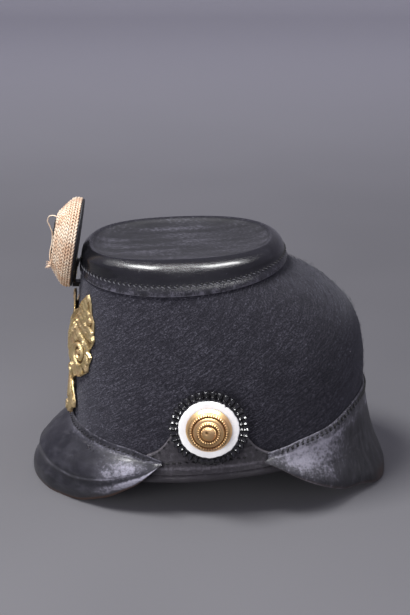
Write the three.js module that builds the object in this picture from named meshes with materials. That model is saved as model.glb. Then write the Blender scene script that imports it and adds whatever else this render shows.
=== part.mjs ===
// A military shako of about 1900, in millimetres, +Z up, standing on the plane z = 0.
// The front of the hat looks along -X, its left side along -Y, and the hat leans forward
// the way it does when it rests on the edges of its peak and its neck guard.
import * as THREE from "three";
import { mergeVertices } from "three/addons/utils/BufferGeometryUtils.js";

// Walls of felt and leather
const FELT = 2.5;
const FELT_BOTTOM = 6.8;
const FELT_TOP = 135.5;
const LEATHER = 1.4;
const CAP_LEATHER = 2.0;
const PEAK_LEATHER = 2.4;
const GAP = 0.3;

// The rim plane: height of the rim under the middle of the hat
const RIM_HEIGHT = 27;
// How much fuller than an ellipse the head oval is at its four diagonals
const FULLNESS = 0.03;

// The outer face of the felt, a row for each height.
// rise: height above the rim; slope: forward pitch of that level; front, back: x of its two ends;
// half: half its width; widest: x of its widest place.
const WALL = [
  { rise: 0, slope: 0.096, front: -101, back: 106, half: 85, widest: 3 },
  { rise: 22, slope: 0.096, front: -99.5, back: 107.8, half: 86, widest: 3 },
  { rise: 45, slope: 0.088, front: -98, back: 108.8, half: 86, widest: 4 },
  { rise: 61, slope: 0.082, front: -96.8, back: 107.9, half: 84.8, widest: 4 },
  { rise: 73, slope: 0.078, front: -95.9, back: 106.2, half: 83.3, widest: 3 },
  { rise: 82, slope: 0.074, front: -95.2, back: 103.6, half: 81.6, widest: 2 },
  { rise: 91, slope: 0.07, front: -94.6, back: 99.6, half: 79.6, widest: 0 },
  { rise: 100, slope: 0.067, front: -94, back: 92.4, half: 77.3, widest: -3 },
  { rise: 109, slope: 0.064, front: -93.4, back: 83.2, half: 74.6, widest: -7 },
  { rise: 116, slope: 0.062, front: -92.9, back: 73.6, half: 72.2, widest: -11 },
  { rise: 122, slope: 0.06, front: -92.2, back: 62.3, half: 69.8, widest: -15 },
  { rise: 129, slope: 0.058, front: -91, back: 52.8, half: 66.9, widest: -19 },
  { rise: 139.5, slope: 0.048, front: -88.4, back: 48.5, half: 59.6, widest: -21 },
];

// Crown cap
const CAP_EDGE_RISE = 127.3;
const CAP_EDGE_LIFT = 4;
const CAP_EDGE_BAND = 5.5;
const CAP_OVERLAP = 2.4;
const CREST = { front: -85, back: 43, half: 53.5, height: 175.6, slope: 0.036 };
const CREST_FULLNESS = { front: 0.085, back: 0.05 };
// The cap's outer face from its centre outwards: out is how far outside the crest oval a ring
// lies, drop how far below the crest it is; wide and low are added to them at the hat's sides.
const CAP_TOP = [
  { out: -28, drop: 5, wide: 0, low: 0 },
  { out: -15, drop: 4.2, wide: 0, low: 0 },
  { out: -7, drop: 2.6, wide: 0, low: 0 },
  { out: -3, drop: 0.9, wide: 0, low: 0 },
  { out: -0.8, drop: 0, wide: 0, low: 0 },
  { out: 2.2, drop: 1.5, wide: 0.2, low: -0.8 },
  { out: 3.8, drop: 3, wide: 1.9, low: -0.6 },
  { out: 5.2, drop: 5, wide: 3.3, low: 0.5 },
];
// Cosines of the angles between which the cap's shoulder widens from the front and narrows towards
// the back, where the share left of it is left
const CAP_SIDE = { front: 0.64, wide: 0.17, narrow: -0.5, back: -0.97, left: 0.4 };
// The cap's inner face over the felt, in the same way
const CAP_UNDER = [
  { out: -14, drop: 6.3 },
  { out: -5, drop: 4.4 },
  { out: 1.5, drop: 5 },
];

// The visors' corners lie over the gussets: degrees from the corner where they start to lift and
// where they are lifted, and the widths between which their bulge comes in
const CORNER = { flat: 13, lifted: 7, narrow: 6, wide: 34 };
// How far the bend at a visor's seam stands out, and how far above the seam it starts
const SEAM_WELT = 0.5;
const SEAM_BEND = 0.8;

// Front peak: angle from the middle of the front, rise of its seam and of its stitched flange
const PEAK_SPREAD = 70;
const PEAK_SEAM = [
  { angle: 0, seam: 22.5, top: 31.5 },
  { angle: 25, seam: 23.5, top: 30.6 },
  { angle: 46, seam: 21.5, top: 26.8 },
  { angle: 57, seam: 19.2, top: 24.2 },
  { angle: 63, seam: 17.6, top: 21.8 },
  { angle: 70, seam: 15.6, top: 17.4 },
];
// The lower edge of the peak, from its tip to its corner on one side
const PEAK_EDGE = [
  { x: -129.3, y: 0, z: 0 },
  { x: -128.6, y: 10, z: 0 },
  { x: -123.8, y: 24, z: 0 },
  { x: -115, y: 40, z: 0 },
  { x: -103.5, y: 51, z: 0 },
  { x: -92.2, y: 60, z: 1.1 },
  { x: -81, y: 67.5, z: 5.3 },
  { x: -70.6, y: 74, z: 10.1 },
  { x: -60, y: 80, z: 17.4 },
  { x: -49.4, y: 85.2, z: 25.4 },
  { x: -35.6, y: 88.8, z: 39.4 },
];
const PEAK_BULGE = 7.9;
// Pressed border of the peak: how far along from seam to edge, and how much it stands up
const PEAK_BORDER = [
  { along: 0.14, raised: 0 },
  { along: 0.32, raised: -0.2 },
  { along: 0.5, raised: -0.6 },
  { along: 0.64, raised: 0.7 },
  { along: 0.8, raised: 0.2 },
  { along: 0.93, raised: 0.2 },
  { along: 1, raised: 0 },
];

// Neck guard: angle from the middle of the back
const GUARD_SPREAD = 71;
const GUARD_SEAM = [
  { angle: 0, seam: 28, top: 33.2 },
  { angle: 20, seam: 27.8, top: 33.4 },
  { angle: 27, seam: 26.6, top: 32.2 },
  { angle: 36, seam: 22.6, top: 28.1 },
  { angle: 45, seam: 18.6, top: 23.6 },
  { angle: 54, seam: 17, top: 21.6 },
  { angle: 63, seam: 15.6, top: 19.6 },
  { angle: 71, seam: 13.8, top: 17.4 },
];
const GUARD_EDGE = [
  { x: 126.8, y: 0, z: 0 },
  { x: 126.3, y: 9, z: 0 },
  { x: 123.6, y: 21, z: 0 },
  { x: 117.5, y: 33, z: 2 },
  { x: 107, y: 45, z: 6.2 },
  { x: 95, y: 56.5, z: 7.8 },
  { x: 83.2, y: 70, z: 14.8 },
  { x: 71.8, y: 79, z: 21.7 },
  { x: 60, y: 84.5, z: 28.7 },
  { x: 50.1, y: 87.6, z: 35.4 },
  { x: 35.5, y: 88.8, z: 43.2 },
];
const GUARD_BULGE = 0;
const GUARD_BORDER = [
  { along: 0.15, raised: -1.1 },
  { along: 0.35, raised: -1.9 },
  { along: 0.58, raised: -1.2 },
  { along: 0.8, raised: 0.7 },
  { along: 0.92, raised: 1 },
  { along: 1, raised: 0 },
];

// Side gussets: angle from the middle of the front, rise of the top edge
const GUSSET_TOP = [
  { angle: 63.6, top: 21.6 },
  { angle: 67.5, top: 24.6 },
  { angle: 70.1, top: 29 },
  { angle: 72.5, top: 35.4 },
  { angle: 77, top: 45 },
  { angle: 82, top: 52 },
  { angle: 87, top: 55 },
  { angle: 91, top: 51.5 },
  { angle: 95, top: 46 },
  { angle: 99, top: 36.5 },
  { angle: 101.9, top: 29.4 },
  { angle: 104.7, top: 23.3 },
  { angle: 108.6, top: 18.3 },
  { angle: 115, top: 14 },
];

// Rim roll: half its thickness and half its height, and where its middle lies
const ROLL = { halfThick: 2.7, halfHeight: 3.1, rise: 3.2, out: -0.9 };

// Cockades at the sides
const COCKADE_ANGLE = 86.9;
const COCKADE_RISE = 40.7;
const COCKADE_RADIUS = 27;
const COCKADE_FLUTES = 36;
const COCKADE_THICK = 2.6;
const COCKADE_FLAT = 1.9;
const COCKADE_EDGE = 1.3;
const FLUTE_DEPTH = 1.1;
const RING_OUTER = 20.4;
const RING_INNER = 14.4;
const RING_THICK = 1.3;
const RING_ROUND = 0.6;
// Profile of the stepped boss: radius and height above its foot
const BOSS = [
  { radius: 0, height: 8.2 },
  { radius: 2.6, height: 8 },
  { radius: 4.6, height: 6.9 },
  { radius: 5.4, height: 6 },
  { radius: 7.2, height: 6.3 },
  { radius: 9.6, height: 5 },
  { radius: 10.6, height: 4 },
  { radius: 12.2, height: 4.1 },
  { radius: 13.4, height: 2.9 },
  { radius: 15, height: 0.9 },
  { radius: 15.5, height: 0 },
];
const BOSS_STAND = 2.1;
const SHANK_RADIUS = 5;
// How far the cockade's back stands off the felt, over the gusset, and the ring over that back
const GUSSET_TO_COCKADE = 2 * GAP + LEATHER;
const RING_SEAT = COCKADE_FLAT + GAP;

// Field badge at the front of the crown: an oval wound of cord, in its own frame, whose x is
// the depth towards the front, y the width and z the height
const BADGE_FOOT = new THREE.Vector3(-98.2, 0, 138.6);
const BADGE_LEAN = 9.3;
const BADGE_HEIGHT = 64.5;
const BADGE_WIDTH = 50;
const BADGE_BACKING = 1.2;
const BADGE_BACKING_INSET = 1;
const BADGE_WOUND = [
  { depth: 1.5, inset: 0.6 },
  { depth: 2.6, inset: 0 },
  { depth: 6.4, inset: 0.6 },
  { depth: 9.6, inset: 4 },
  { depth: 16.4, inset: 12.9 },
  { depth: 17.2, inset: 14.6 },
  { depth: 14.8, inset: 16.4 },
];
const BADGE_POCKET_DEPTH = 14.8;
// Domed cloth centre: height above its seat, inset from the badge's outline
const BADGE_DOME = [
  { above: 2.6, inset: 20.9 },
  { above: 1.8, inset: 18.1 },
  { above: 0.6, inset: 16.9 },
];

// Pin behind the badge: heights of its two feet, its width across and its thickness
const PIN_LEVELS = [139.4, 142.6, 154, 158];
const PIN_WIDTH = 7;
const PIN_THICK = 1.6;

// Eagle plate: its middle, how far it stands off the felt, its thickness at the edge, and its
// outline as the reach from the middle against the angle from straight down
const EAGLE_RISE = 70;
const EAGLE_STAND = { edge: 0.6, middle: 1.9, flatTo: 16, edgeFrom: 42 };
const EAGLE_EDGE = 0.9;
const MM_PER_DEGREE = 1.43;
// Its raised forms: height, place to the side and half width, place upwards and half height
const EAGLE_FORMS = [
  { part: "breast", height: 3, side: 0, wide: 9, up: 14, tall: 19 },
  { part: "head", height: 1.6, side: 0, wide: 6, up: 38, tall: 9 },
  { part: "wing shoulders", height: 1.5, side: 24, wide: 9, up: 22, tall: 13 },
  { part: "tail", height: 1.8, side: 0, wide: 13, up: -30, tall: 12 },
];
const FEATHER_RIB = 0.35;
const FEATHERS = { from: 18, full: 40 };
const EAGLE_REACH = [
  { down: 0, reach: 43 },
  { down: 8, reach: 41.4 },
  { down: 14, reach: 43 },
  { down: 21, reach: 40.6 },
  { down: 28, reach: 42 },
  { down: 35, reach: 39.5 },
  { down: 41, reach: 41 },
  { down: 45.5, reach: 38 },
  { down: 50, reach: 22 },
  { down: 62, reach: 22 },
  { down: 74, reach: 28.5 },
  { down: 79, reach: 34 },
  { down: 84, reach: 37.5 },
  { down: 90, reach: 43.5 },
  { down: 97, reach: 45 },
  { down: 103, reach: 49 },
  { down: 108, reach: 46.5 },
  { down: 114.3, reach: 56 },
  { down: 118, reach: 56.4 },
  { down: 124.7, reach: 61.8 },
  { down: 129, reach: 62 },
  { down: 134, reach: 66.5 },
  { down: 139.6, reach: 69 },
  { down: 142, reach: 57 },
  { down: 146, reach: 47 },
  { down: 152, reach: 41 },
  { down: 159, reach: 35 },
  { down: 166, reach: 35.5 },
  { down: 169, reach: 41 },
  { down: 173.5, reach: 44.6 },
  { down: 180, reach: 45.5 },
];

const COLOURS = {
  felt: { color: 0x17161b, roughness: 0.95, metalness: 0 },
  lacquer: { color: 0x121215, roughness: 0.32, metalness: 0 },
  leather: { color: 0x1d1d21, roughness: 0.55, metalness: 0 },
  white: { color: 0xeeeeee, roughness: 0.5, metalness: 0 },
  brass: { color: 0xb08a44, roughness: 0.35, metalness: 1 },
  silver: { color: 0xc9b49c, roughness: 0.5, metalness: 0.6 },
};

const DEGREE = Math.PI / 180;
// Stations round the hat, and the ways in which a half turn or a small step is divided
const ROUND_STATIONS = 48;
const VISOR_STATIONS = 24;
const GUSSET_LEVELS = 4;
const ROLL_STEPS = 4;
const RING_SIDES = 36;
const BOSS_SIDES = 24;
const BADGE_SIDES = 28;
const EAGLE_RINGS = { front: 6, back: 3 };
const SMALL_TURN = 0.05;
const MERGE = 1e-3;
const smoothstep = THREE.MathUtils.smoothstep;
const range = (count, f) => Array.from({ length: count }, (_, i) => f(i));
// Values from start to end in equal steps, both ends included
const spread = (start, end, steps) => range(steps + 1, (i) => start + ((end - start) * i) / steps);
const AROUND = range(ROUND_STATIONS, (i) => (i * 360) / ROUND_STATIONS);

// Reads one column of a table at a value of its key, on a smooth curve without overshoot
function tableCurve(table, key) {
  const at = table.map((row) => row[key]);
  const last = at.length - 1;
  const column = (name) => {
    const values = table.map((row) => row[name]);
    const step = at.slice(1).map((next, i) => next - at[i]);
    const rate = step.map((width, i) => (values[i + 1] - values[i]) / width);
    const slope = at.map((_, i) => {
      if (i === 0) return rate[0];
      if (i === last) return rate[last - 1];
      if (rate[i - 1] * rate[i] <= 0) return 0;
      const near = 2 * step[i] + step[i - 1];
      const far = step[i] + 2 * step[i - 1];
      return (near + far) / (near / rate[i - 1] + far / rate[i]);
    });
    return { values, step, slope };
  };
  const columns = new Map();
  return (name, value) => {
    if (!columns.has(name)) columns.set(name, column(name));
    const { values, step, slope } = columns.get(name);
    let i = 0;
    while (i < last - 1 && value >= at[i + 1]) i += 1;
    const u = (value - at[i]) / step[i];
    const v = 1 - u;
    const ends = values[i] * (1 + 2 * u) * v * v + values[i + 1] * u * u * (3 - 2 * u);
    return ends + step[i] * u * v * (slope[i] * v - slope[i + 1] * u);
  };
}

const wallTable = tableCurve(WALL, "rise");
const peakTable = tableCurve(PEAK_SEAM, "angle");
const guardTable = tableCurve(GUARD_SEAM, "angle");

// A point of the felt's outer face; angle in degrees, 0 in front, 90 on the left side
function wallPoint(rise, angle) {
  const cosine = Math.cos(angle * DEGREE);
  const sine = Math.sin(angle * DEGREE);
  const full = 1 + FULLNESS * Math.sin(2 * angle * DEGREE) ** 2;
  const widest = wallTable("widest", rise);
  const end = wallTable(cosine > 0 ? "front" : "back", rise);
  const x = widest - Math.abs(end - widest) * cosine * full;
  const y = -wallTable("half", rise) * sine * full;
  return new THREE.Vector3(x, y, RIM_HEIGHT + rise + wallTable("slope", rise) * x);
}

// The direction straight out of the felt at a place
function wallNormal(rise, angle) {
  const here = wallPoint(rise, angle);
  const along = wallPoint(rise, angle + SMALL_TURN).sub(here);
  const up = wallPoint(rise + SMALL_TURN, angle).sub(here);
  return along.cross(up).normalize();
}

// A point a given distance outside the felt's outer face
const offWall = (rise, angle, out) => wallPoint(rise, angle).addScaledVector(wallNormal(rise, angle), out);

// One closed body from triangles given as triples of points, faces out
function closedBody(triangles) {
  const flat = new Float32Array(triangles.flat().flatMap((point) => point.toArray()));
  const loose = new THREE.BufferGeometry();
  loose.setAttribute("position", new THREE.BufferAttribute(flat, 3));
  const merged = mergeVertices(loose, MERGE);
  const position = merged.getAttribute("position");
  const corner = (i) => new THREE.Vector3().fromBufferAttribute(position, i);
  const kept = [];
  let volume = 0;
  for (let i = 0; i < merged.index.count; i += 3) {
    const [a, b, c] = [0, 1, 2].map((k) => merged.index.getX(i + k));
    if (a === b || b === c || c === a) continue;
    kept.push([a, b, c]);
    volume += corner(a).dot(corner(b).cross(corner(c)));
  }
  merged.setIndex(kept.flatMap(([a, b, c]) => (volume < 0 ? [a, c, b] : [a, b, c])));
  merged.computeVertexNormals();
  return merged;
}

// Two triangles between four corners given in order
const quad = (a, b, c, d) => [
  [a, b, c],
  [a, c, d],
];

// The body between a front and a back face. Each face is a list of stations, each station a
// list of points from one rim to the other. round joins the last station to the first one;
// otherwise both ends are closed, and there both faces have as many points.
function bodyBetween(front, back, round) {
  const triangles = [];
  const count = front.length;
  const spans = round ? count : count - 1;
  for (let i = 0; i < spans; i += 1) {
    const next = (i + 1) % count;
    for (let j = 0; j < front[i].length - 1; j += 1)
      triangles.push(...quad(front[i][j], front[i][j + 1], front[next][j + 1], front[next][j]));
    for (let j = 0; j < back[i].length - 1; j += 1)
      triangles.push(...quad(back[i][j], back[next][j], back[next][j + 1], back[i][j + 1]));
    triangles.push(...quad(front[i][0], front[next][0], back[next][0], back[i][0]));
    const [f, g] = [front[i].at(-1), front[next].at(-1)];
    const [b, c] = [back[i].at(-1), back[next].at(-1)];
    triangles.push(...quad(f, b, c, g));
  }
  if (!round)
    for (let j = 0; j < front[0].length - 1; j += 1) {
      const [a, b] = [front[0], back[0]];
      triangles.push(...quad(a[j], b[j], b[j + 1], a[j + 1]));
      const [c, d] = [front[count - 1], back[count - 1]];
      triangles.push(...quad(c[j], c[j + 1], d[j + 1], d[j]));
    }
  return closedBody(triangles);
}

const shako = new THREE.Group();
shako.name = "shako";

function addPiece(name, geometry, finish) {
  const mesh = new THREE.Mesh(geometry, new THREE.MeshStandardMaterial(COLOURS[finish]));
  mesh.name = name;
  shako.add(mesh);
  return mesh;
}

// The same piece on the other side of the hat's middle plane
function mirrored(geometry) {
  const copy = geometry.clone();
  copy.scale(1, -1, 1);
  const order = Array.from(copy.index.array);
  for (let i = 0; i < order.length; i += 3) [order[i], order[i + 1]] = [order[i + 1], order[i]];
  copy.setIndex(order);
  copy.computeVertexNormals();
  return copy;
}

// Felt body, open below and above
function bodyShell() {
  const outer = [FELT_BOTTOM, ...WALL.slice(1, -1).map((row) => row.rise), FELT_TOP];
  const inner = outer.filter((_, i) => i % 2 === 0 || i > outer.length - 3);
  const front = AROUND.map((angle) => outer.map((rise) => wallPoint(rise, angle)));
  const back = AROUND.map((angle) => inner.map((rise) => offWall(rise, angle, -FELT)));
  return bodyBetween(front, back, true);
}

// A point of the crest oval, moved outwards and down
function crestPoint(angle, out, drop) {
  const middle = (CREST.front + CREST.back) / 2;
  const cosine = Math.cos(angle * DEGREE);
  const sine = Math.sin(angle * DEGREE);
  const fullness = cosine > 0 ? CREST_FULLNESS.front : CREST_FULLNESS.back;
  const full = 1 + fullness * Math.sin(2 * angle * DEGREE) ** 2;
  const x = middle - ((CREST.back - CREST.front) / 2 + out) * cosine * full;
  const y = -(CREST.half + out) * sine * full;
  return new THREE.Vector3(x, y, CREST.height + CREST.slope * x - drop);
}

const capEdgeRise = (angle) => CAP_EDGE_RISE + CAP_EDGE_LIFT * Math.cos(angle * DEGREE) ** 2;

// Crown cap: a sunk dish inside a rounded crest, and a band drawn down over the felt
function capSide(angle) {
  const along = Math.cos(angle * DEGREE);
  const front = 1 - smoothstep(along, CAP_SIDE.wide, CAP_SIDE.front);
  const back = 1 - smoothstep(along, CAP_SIDE.back, CAP_SIDE.narrow);
  return front * (1 - (1 - CAP_SIDE.left) * back);
}

function capRing(angle, { out, drop, wide, low }) {
  const share = capSide(angle);
  return crestPoint(angle, out + wide * share, drop + low * share);
}

function crownCap() {
  const pole = crestPoint(90, -CREST.half, CAP_TOP[0].drop);
  const under = pole.clone();
  under.z -= CAP_LEATHER;
  const front = AROUND.map((angle) => [
    pole,
    ...CAP_TOP.map((row) => capRing(angle, row)),
    offWall(capEdgeRise(angle) + CAP_EDGE_BAND, angle, CAP_OVERLAP),
    offWall(capEdgeRise(angle), angle, CAP_OVERLAP),
  ]);
  const back = AROUND.map((angle) => [
    under,
    ...CAP_UNDER.map(({ out, drop }) => crestPoint(angle, out, drop)),
    offWall(FELT_TOP + GAP, angle, GAP),
    offWall(capEdgeRise(angle) + CAP_EDGE_BAND / 2, angle, GAP),
    offWall(capEdgeRise(angle), angle, GAP),
  ]);
  return bodyBetween(front, back, true);
}

// A curve through the edge points of a visor, from its left corner round to its right one
function edgeCurve(edge) {
  const half = edge.map(({ x, y, z }) => new THREE.Vector3(x, -y, z));
  const other = edge.slice(1).map(({ x, y, z }) => new THREE.Vector3(x, y, z));
  return new THREE.CatmullRomCurve3([...half.reverse(), ...other], false, "centripetal");
}

// A visor: a stitched flange on the felt, then a bulged sheet from the seam down to the edge.
// middle is the angle of its middle, sign the way in which its stations run.
function visor({ table, edge, spreadAngle, middle, sign, bulge, border }) {
  const curve = edgeCurve(edge);
  const front = [];
  const back = [];
  for (const t of spread(-1, 1, VISOR_STATIONS)) {
    const side = Math.abs(t) * spreadAngle;
    const angle = middle - sign * t * spreadAngle;
    const lifted = smoothstep(side, spreadAngle - CORNER.flat, spreadAngle - CORNER.lifted);
    const lift = GAP + (LEATHER + GAP) * lifted;
    const seam = table("seam", side);
    const top = table("top", side);
    const rim = curve.getPointAt((t + 1) / 2);
    rim.z = Math.max(rim.z, 0);
    const start = offWall(seam, angle, lift + LEATHER + SEAM_WELT);
    const under = offWall(seam - PEAK_LEATHER, angle, lift);
    const slope = rim.clone().sub(start);
    const outward = wallNormal(seam, angle);
    outward.addScaledVector(slope, -outward.dot(slope) / slope.lengthSq()).normalize();
    const size = smoothstep(slope.length(), CORNER.narrow, CORNER.wide);
    const thick = THREE.MathUtils.lerp(LEATHER, PEAK_LEATHER, size);
    const inner = rim.clone().addScaledVector(wallNormal(seam, angle).setZ(0).normalize(), -thick);
    const flange = [top, seam + SEAM_BEND];
    const skin = [...flange.map((rise) => offWall(rise, angle, lift + LEATHER)), start];
    const lining = [...flange.map((rise) => offWall(rise, angle, lift)), under];
    for (const { along, raised } of border) {
      const arch = bulge * 4 * along * (1 - along) * size;
      skin.push(start.clone().lerp(rim, along).addScaledVector(outward, arch + raised * size));
      lining.push(under.clone().lerp(inner, along).addScaledVector(outward, arch));
    }
    front.push(skin);
    back.push(lining);
  }
  return bodyBetween(front, back, false);
}

// Leather gusset that runs along the side and rises to a point under the cockade
function gusset() {
  const front = [];
  const back = [];
  for (const { angle, top } of GUSSET_TOP) {
    const levels = spread(FELT_BOTTOM, top, GUSSET_LEVELS);
    front.push(levels.map((rise) => offWall(rise, angle, GAP + LEATHER)));
    back.push(levels.map((rise) => offWall(rise, angle, GAP)));
  }
  return bodyBetween(front, back, false);
}

// Leather-covered roll round the whole rim
function rimRoll() {
  const half = (turn) => (angle) =>
    spread(0, 180, ROLL_STEPS).map((step) => {
      const swing = (turn * step - 90) * DEGREE;
      const out = ROLL.out + ROLL.halfThick * Math.cos(swing);
      return offWall(ROLL.rise + ROLL.halfHeight * Math.sin(swing), angle, out);
    });
  return bodyBetween(AROUND.map(half(1)), AROUND.map(half(-1)), true);
}

// Places a geometry made round the +Z axis on the left side of the hat, a distance off the felt
function atSide(geometry, out) {
  const normal = wallNormal(COCKADE_RISE, COCKADE_ANGLE);
  const turn = new THREE.Quaternion().setFromUnitVectors(new THREE.Vector3(0, 0, 1), normal);
  const place = offWall(COCKADE_RISE, COCKADE_ANGLE, out);
  return geometry.clone().applyMatrix4(new THREE.Matrix4().compose(place, turn, new THREE.Vector3(1, 1, 1)));
}

// A round body about +Z from two lists of radius and height, front and back
function turned(frontProfile, backProfile, sides, shape = () => 0) {
  const ring = (profile, lifted) => (i) => {
    const angle = (i / sides) * 2 * Math.PI;
    return profile.map(([radius, height]) => {
      const z = height + (lifted ? shape(radius, i) : 0);
      return new THREE.Vector3(radius * Math.cos(angle), radius * Math.sin(angle), z);
    });
  };
  return bodyBetween(range(sides, ring(frontProfile, true)), range(sides, ring(backProfile, false)), true);
}

// Fluted disc: every other radial line is sunk, more so towards the rim
function cockade() {
  const profile = [
    [0, COCKADE_FLAT],
    [RING_INNER, COCKADE_FLAT],
    [RING_OUTER - COCKADE_EDGE, COCKADE_FLAT],
    [COCKADE_RADIUS - COCKADE_EDGE, COCKADE_THICK],
    [COCKADE_RADIUS, COCKADE_THICK - COCKADE_EDGE],
  ];
  const flute = (radius, i) => (radius > RING_OUTER ? -FLUTE_DEPTH * (i % 2) : 0);
  const back = [
    [0, 0],
    [COCKADE_RADIUS, 0],
  ];
  return turned(profile, back, 2 * COCKADE_FLUTES, flute);
}

// Flat painted ring that lies on the cockade
function cockadeRing() {
  const profile = [
    [RING_INNER, 0],
    [RING_INNER + RING_ROUND, RING_THICK],
    [RING_OUTER - RING_ROUND, RING_THICK],
    [RING_OUTER, RING_THICK - RING_ROUND],
  ];
  const back = [
    [RING_INNER, 0],
    [RING_OUTER, 0],
  ];
  return turned(profile, back, RING_SIDES);
}

// Stepped round boss on a short shank that carries it
function chinBoss() {
  const profile = BOSS.map(({ radius, height }) => [radius, height + COCKADE_FLAT + BOSS_STAND]);
  const back = [
    [0, COCKADE_FLAT + GAP],
    [SHANK_RADIUS, COCKADE_FLAT + GAP],
    [SHANK_RADIUS, COCKADE_FLAT + BOSS_STAND],
    [BOSS.at(-1).radius, COCKADE_FLAT + BOSS_STAND],
  ];
  return turned(profile, back, BOSS_SIDES);
}

// Places a badge piece: depth goes forward, the foot stands at the foot of the felt line
function atBadge(geometry) {
  const place = new THREE.Matrix4().makeRotationY(BADGE_LEAN * DEGREE);
  place.setPosition(BADGE_FOOT);
  return geometry.clone().applyMatrix4(place);
}

// One oval ring of the badge
function badgeOval({ depth, inset }) {
  const tall = BADGE_HEIGHT / 2;
  return range(BADGE_SIDES, (i) => {
    const angle = (i / BADGE_SIDES) * 2 * Math.PI;
    const y = (BADGE_WIDTH / 2 - inset) * Math.sin(angle);
    const z = tall + (tall - inset) * Math.cos(angle);
    return new THREE.Vector3(-depth, y, z);
  });
}

// The body between two stacks of ovals, each closed at the badge's middle line
function badgeBody(frontOvals, backOvals) {
  const loft = (ovals) => {
    const middle = new THREE.Vector3(-ovals[0].depth, 0, BADGE_HEIGHT / 2);
    const rings = ovals.map(badgeOval);
    return range(BADGE_SIDES, (i) => [middle, ...rings.map((ring) => ring[i])]);
  };
  return atBadge(bodyBetween(loft(frontOvals), loft(backOvals), true));
}

// Thin backing behind the wound cord
function badgeBacking() {
  const inset = BADGE_BACKING_INSET;
  return badgeBody([{ depth: BADGE_BACKING, inset }], [{ depth: 0, inset }]);
}

// Oval wound of cord: a straight rim, a cone towards the front and a shallow pocket in it
function badgeWound() {
  const outside = BADGE_WOUND.slice().reverse();
  return badgeBody(outside, [{ depth: BADGE_BACKING + GAP, inset: BADGE_WOUND[0].inset }]);
}

// Domed oval of dark cloth in the pocket
function badgeCentre() {
  const seat = BADGE_POCKET_DEPTH + GAP;
  const dome = BADGE_DOME.map(({ above, inset }) => ({ depth: seat + above, inset }));
  return badgeBody(dome, [{ depth: seat, inset: BADGE_DOME.at(-1).inset }]);
}

// Plain pin behind the badge: a strip along its back, with a foot to the cap and one to the felt
function badgePin() {
  const tilt = Math.tan(BADGE_LEAN * DEGREE);
  const backing = (z) => BADGE_FOOT.x + (z - BADGE_FOOT.z) * tilt + GAP / Math.cos(BADGE_LEAN * DEGREE);
  const felt = (z) => frontX(z) - GAP;
  const cap = (z) => frontX(z) - CAP_OVERLAP - 1.5 * GAP;
  const [low, lowTop, high, highTop] = PIN_LEVELS;
  const outline = new THREE.Shape();
  outline.moveTo(backing(low), low);
  outline.lineTo(felt(low), low);
  outline.lineTo(felt(lowTop), lowTop);
  outline.lineTo(backing(lowTop) + PIN_THICK, lowTop);
  outline.lineTo(backing(high) + PIN_THICK, high);
  outline.lineTo(cap(high), high);
  outline.lineTo(cap(highTop), highTop);
  outline.lineTo(backing(highTop), highTop);
  outline.closePath();
  const bar = new THREE.ExtrudeGeometry(outline, { depth: PIN_WIDTH, bevelEnabled: false });
  bar.rotateX(Math.PI / 2);
  bar.translate(0, PIN_WIDTH / 2, 0);
  return bar;
}

// The x of the felt's front line at a height, by halving
function frontX(z) {
  let [low, high] = [0, WALL.at(-1).rise];
  while (high - low > MERGE) {
    const middle = (low + high) / 2;
    if (wallPoint(middle, 0).z < z) low = middle;
    else high = middle;
  }
  return wallPoint(low, 0).x;
}

// Height of the eagle's relief over its flat, at a place across and above its middle
function eagleRelief(across, above, feather) {
  const hump = (value, centre, width) => Math.exp(-(((value - centre) / width) ** 2));
  const form = ({ height, side, wide, up, tall }) =>
    height * hump(Math.abs(across), side, wide) * hump(above, up, tall);
  const forms = EAGLE_FORMS.reduce((sum, row) => sum + form(row), EAGLE_EDGE);
  const ribbed = smoothstep(Math.hypot(across, above), FEATHERS.from, FEATHERS.full);
  return forms + feather * FEATHER_RIB * ribbed;
}

// Spread eagle cast in relief, wrapped round the front of the felt
function eaglePlate() {
  const half = EAGLE_REACH.map(({ down, reach }) => ({ turn: down, reach }));
  const otherHalf = half.slice(1, -1).map(({ turn, reach }) => ({ turn: -turn, reach }));
  const outline = [...half, ...otherHalf.reverse()];
  const at = (turn, reach, height) => {
    const across = reach * Math.sin(turn * DEGREE);
    const above = -reach * Math.cos(turn * DEGREE);
    const { edge, middle, flatTo, edgeFrom } = EAGLE_STAND;
    const stand = edge + middle * (1 - smoothstep(Math.abs(across), flatTo, edgeFrom));
    return offWall(EAGLE_RISE + above, across / MM_PER_DEGREE, stand + height(across, above));
  };
  const front = outline.map(({ turn, reach }, i) => {
    const relief = (across, above) => eagleRelief(across, above, i % 2 === 0 ? -1 : 1);
    return spread(0, 1, EAGLE_RINGS.front).map((part) => at(turn, reach * part, relief));
  });
  const back = outline.map(({ turn, reach }) =>
    spread(0, 1, EAGLE_RINGS.back).map((part) => at(turn, reach * part, () => 0)),
  );
  return bodyBetween(front, back, true);
}

const frontPeak = {
  table: peakTable,
  edge: PEAK_EDGE,
  spreadAngle: PEAK_SPREAD,
  middle: 0,
  sign: 1,
  bulge: PEAK_BULGE,
  border: PEAK_BORDER,
};
const neckGuard = {
  table: guardTable,
  edge: GUARD_EDGE,
  spreadAngle: GUARD_SPREAD,
  middle: 180,
  sign: -1,
  bulge: GUARD_BULGE,
  border: GUARD_BORDER,
};

addPiece("body_shell", bodyShell(), "felt");
addPiece("crown_cap", crownCap(), "lacquer");
addPiece("front_peak", visor(frontPeak), "lacquer");
addPiece("neck_guard", visor(neckGuard), "leather");
addPiece("rim_roll", rimRoll(), "leather");
addPiece("eagle_plate", eaglePlate(), "brass");
addPiece("badge_backing", badgeBacking(), "lacquer");
addPiece("badge_wound_cord", badgeWound(), "silver");
addPiece("badge_centre", badgeCentre(), "felt");
addPiece("badge_pin", badgePin(), "lacquer");

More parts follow.
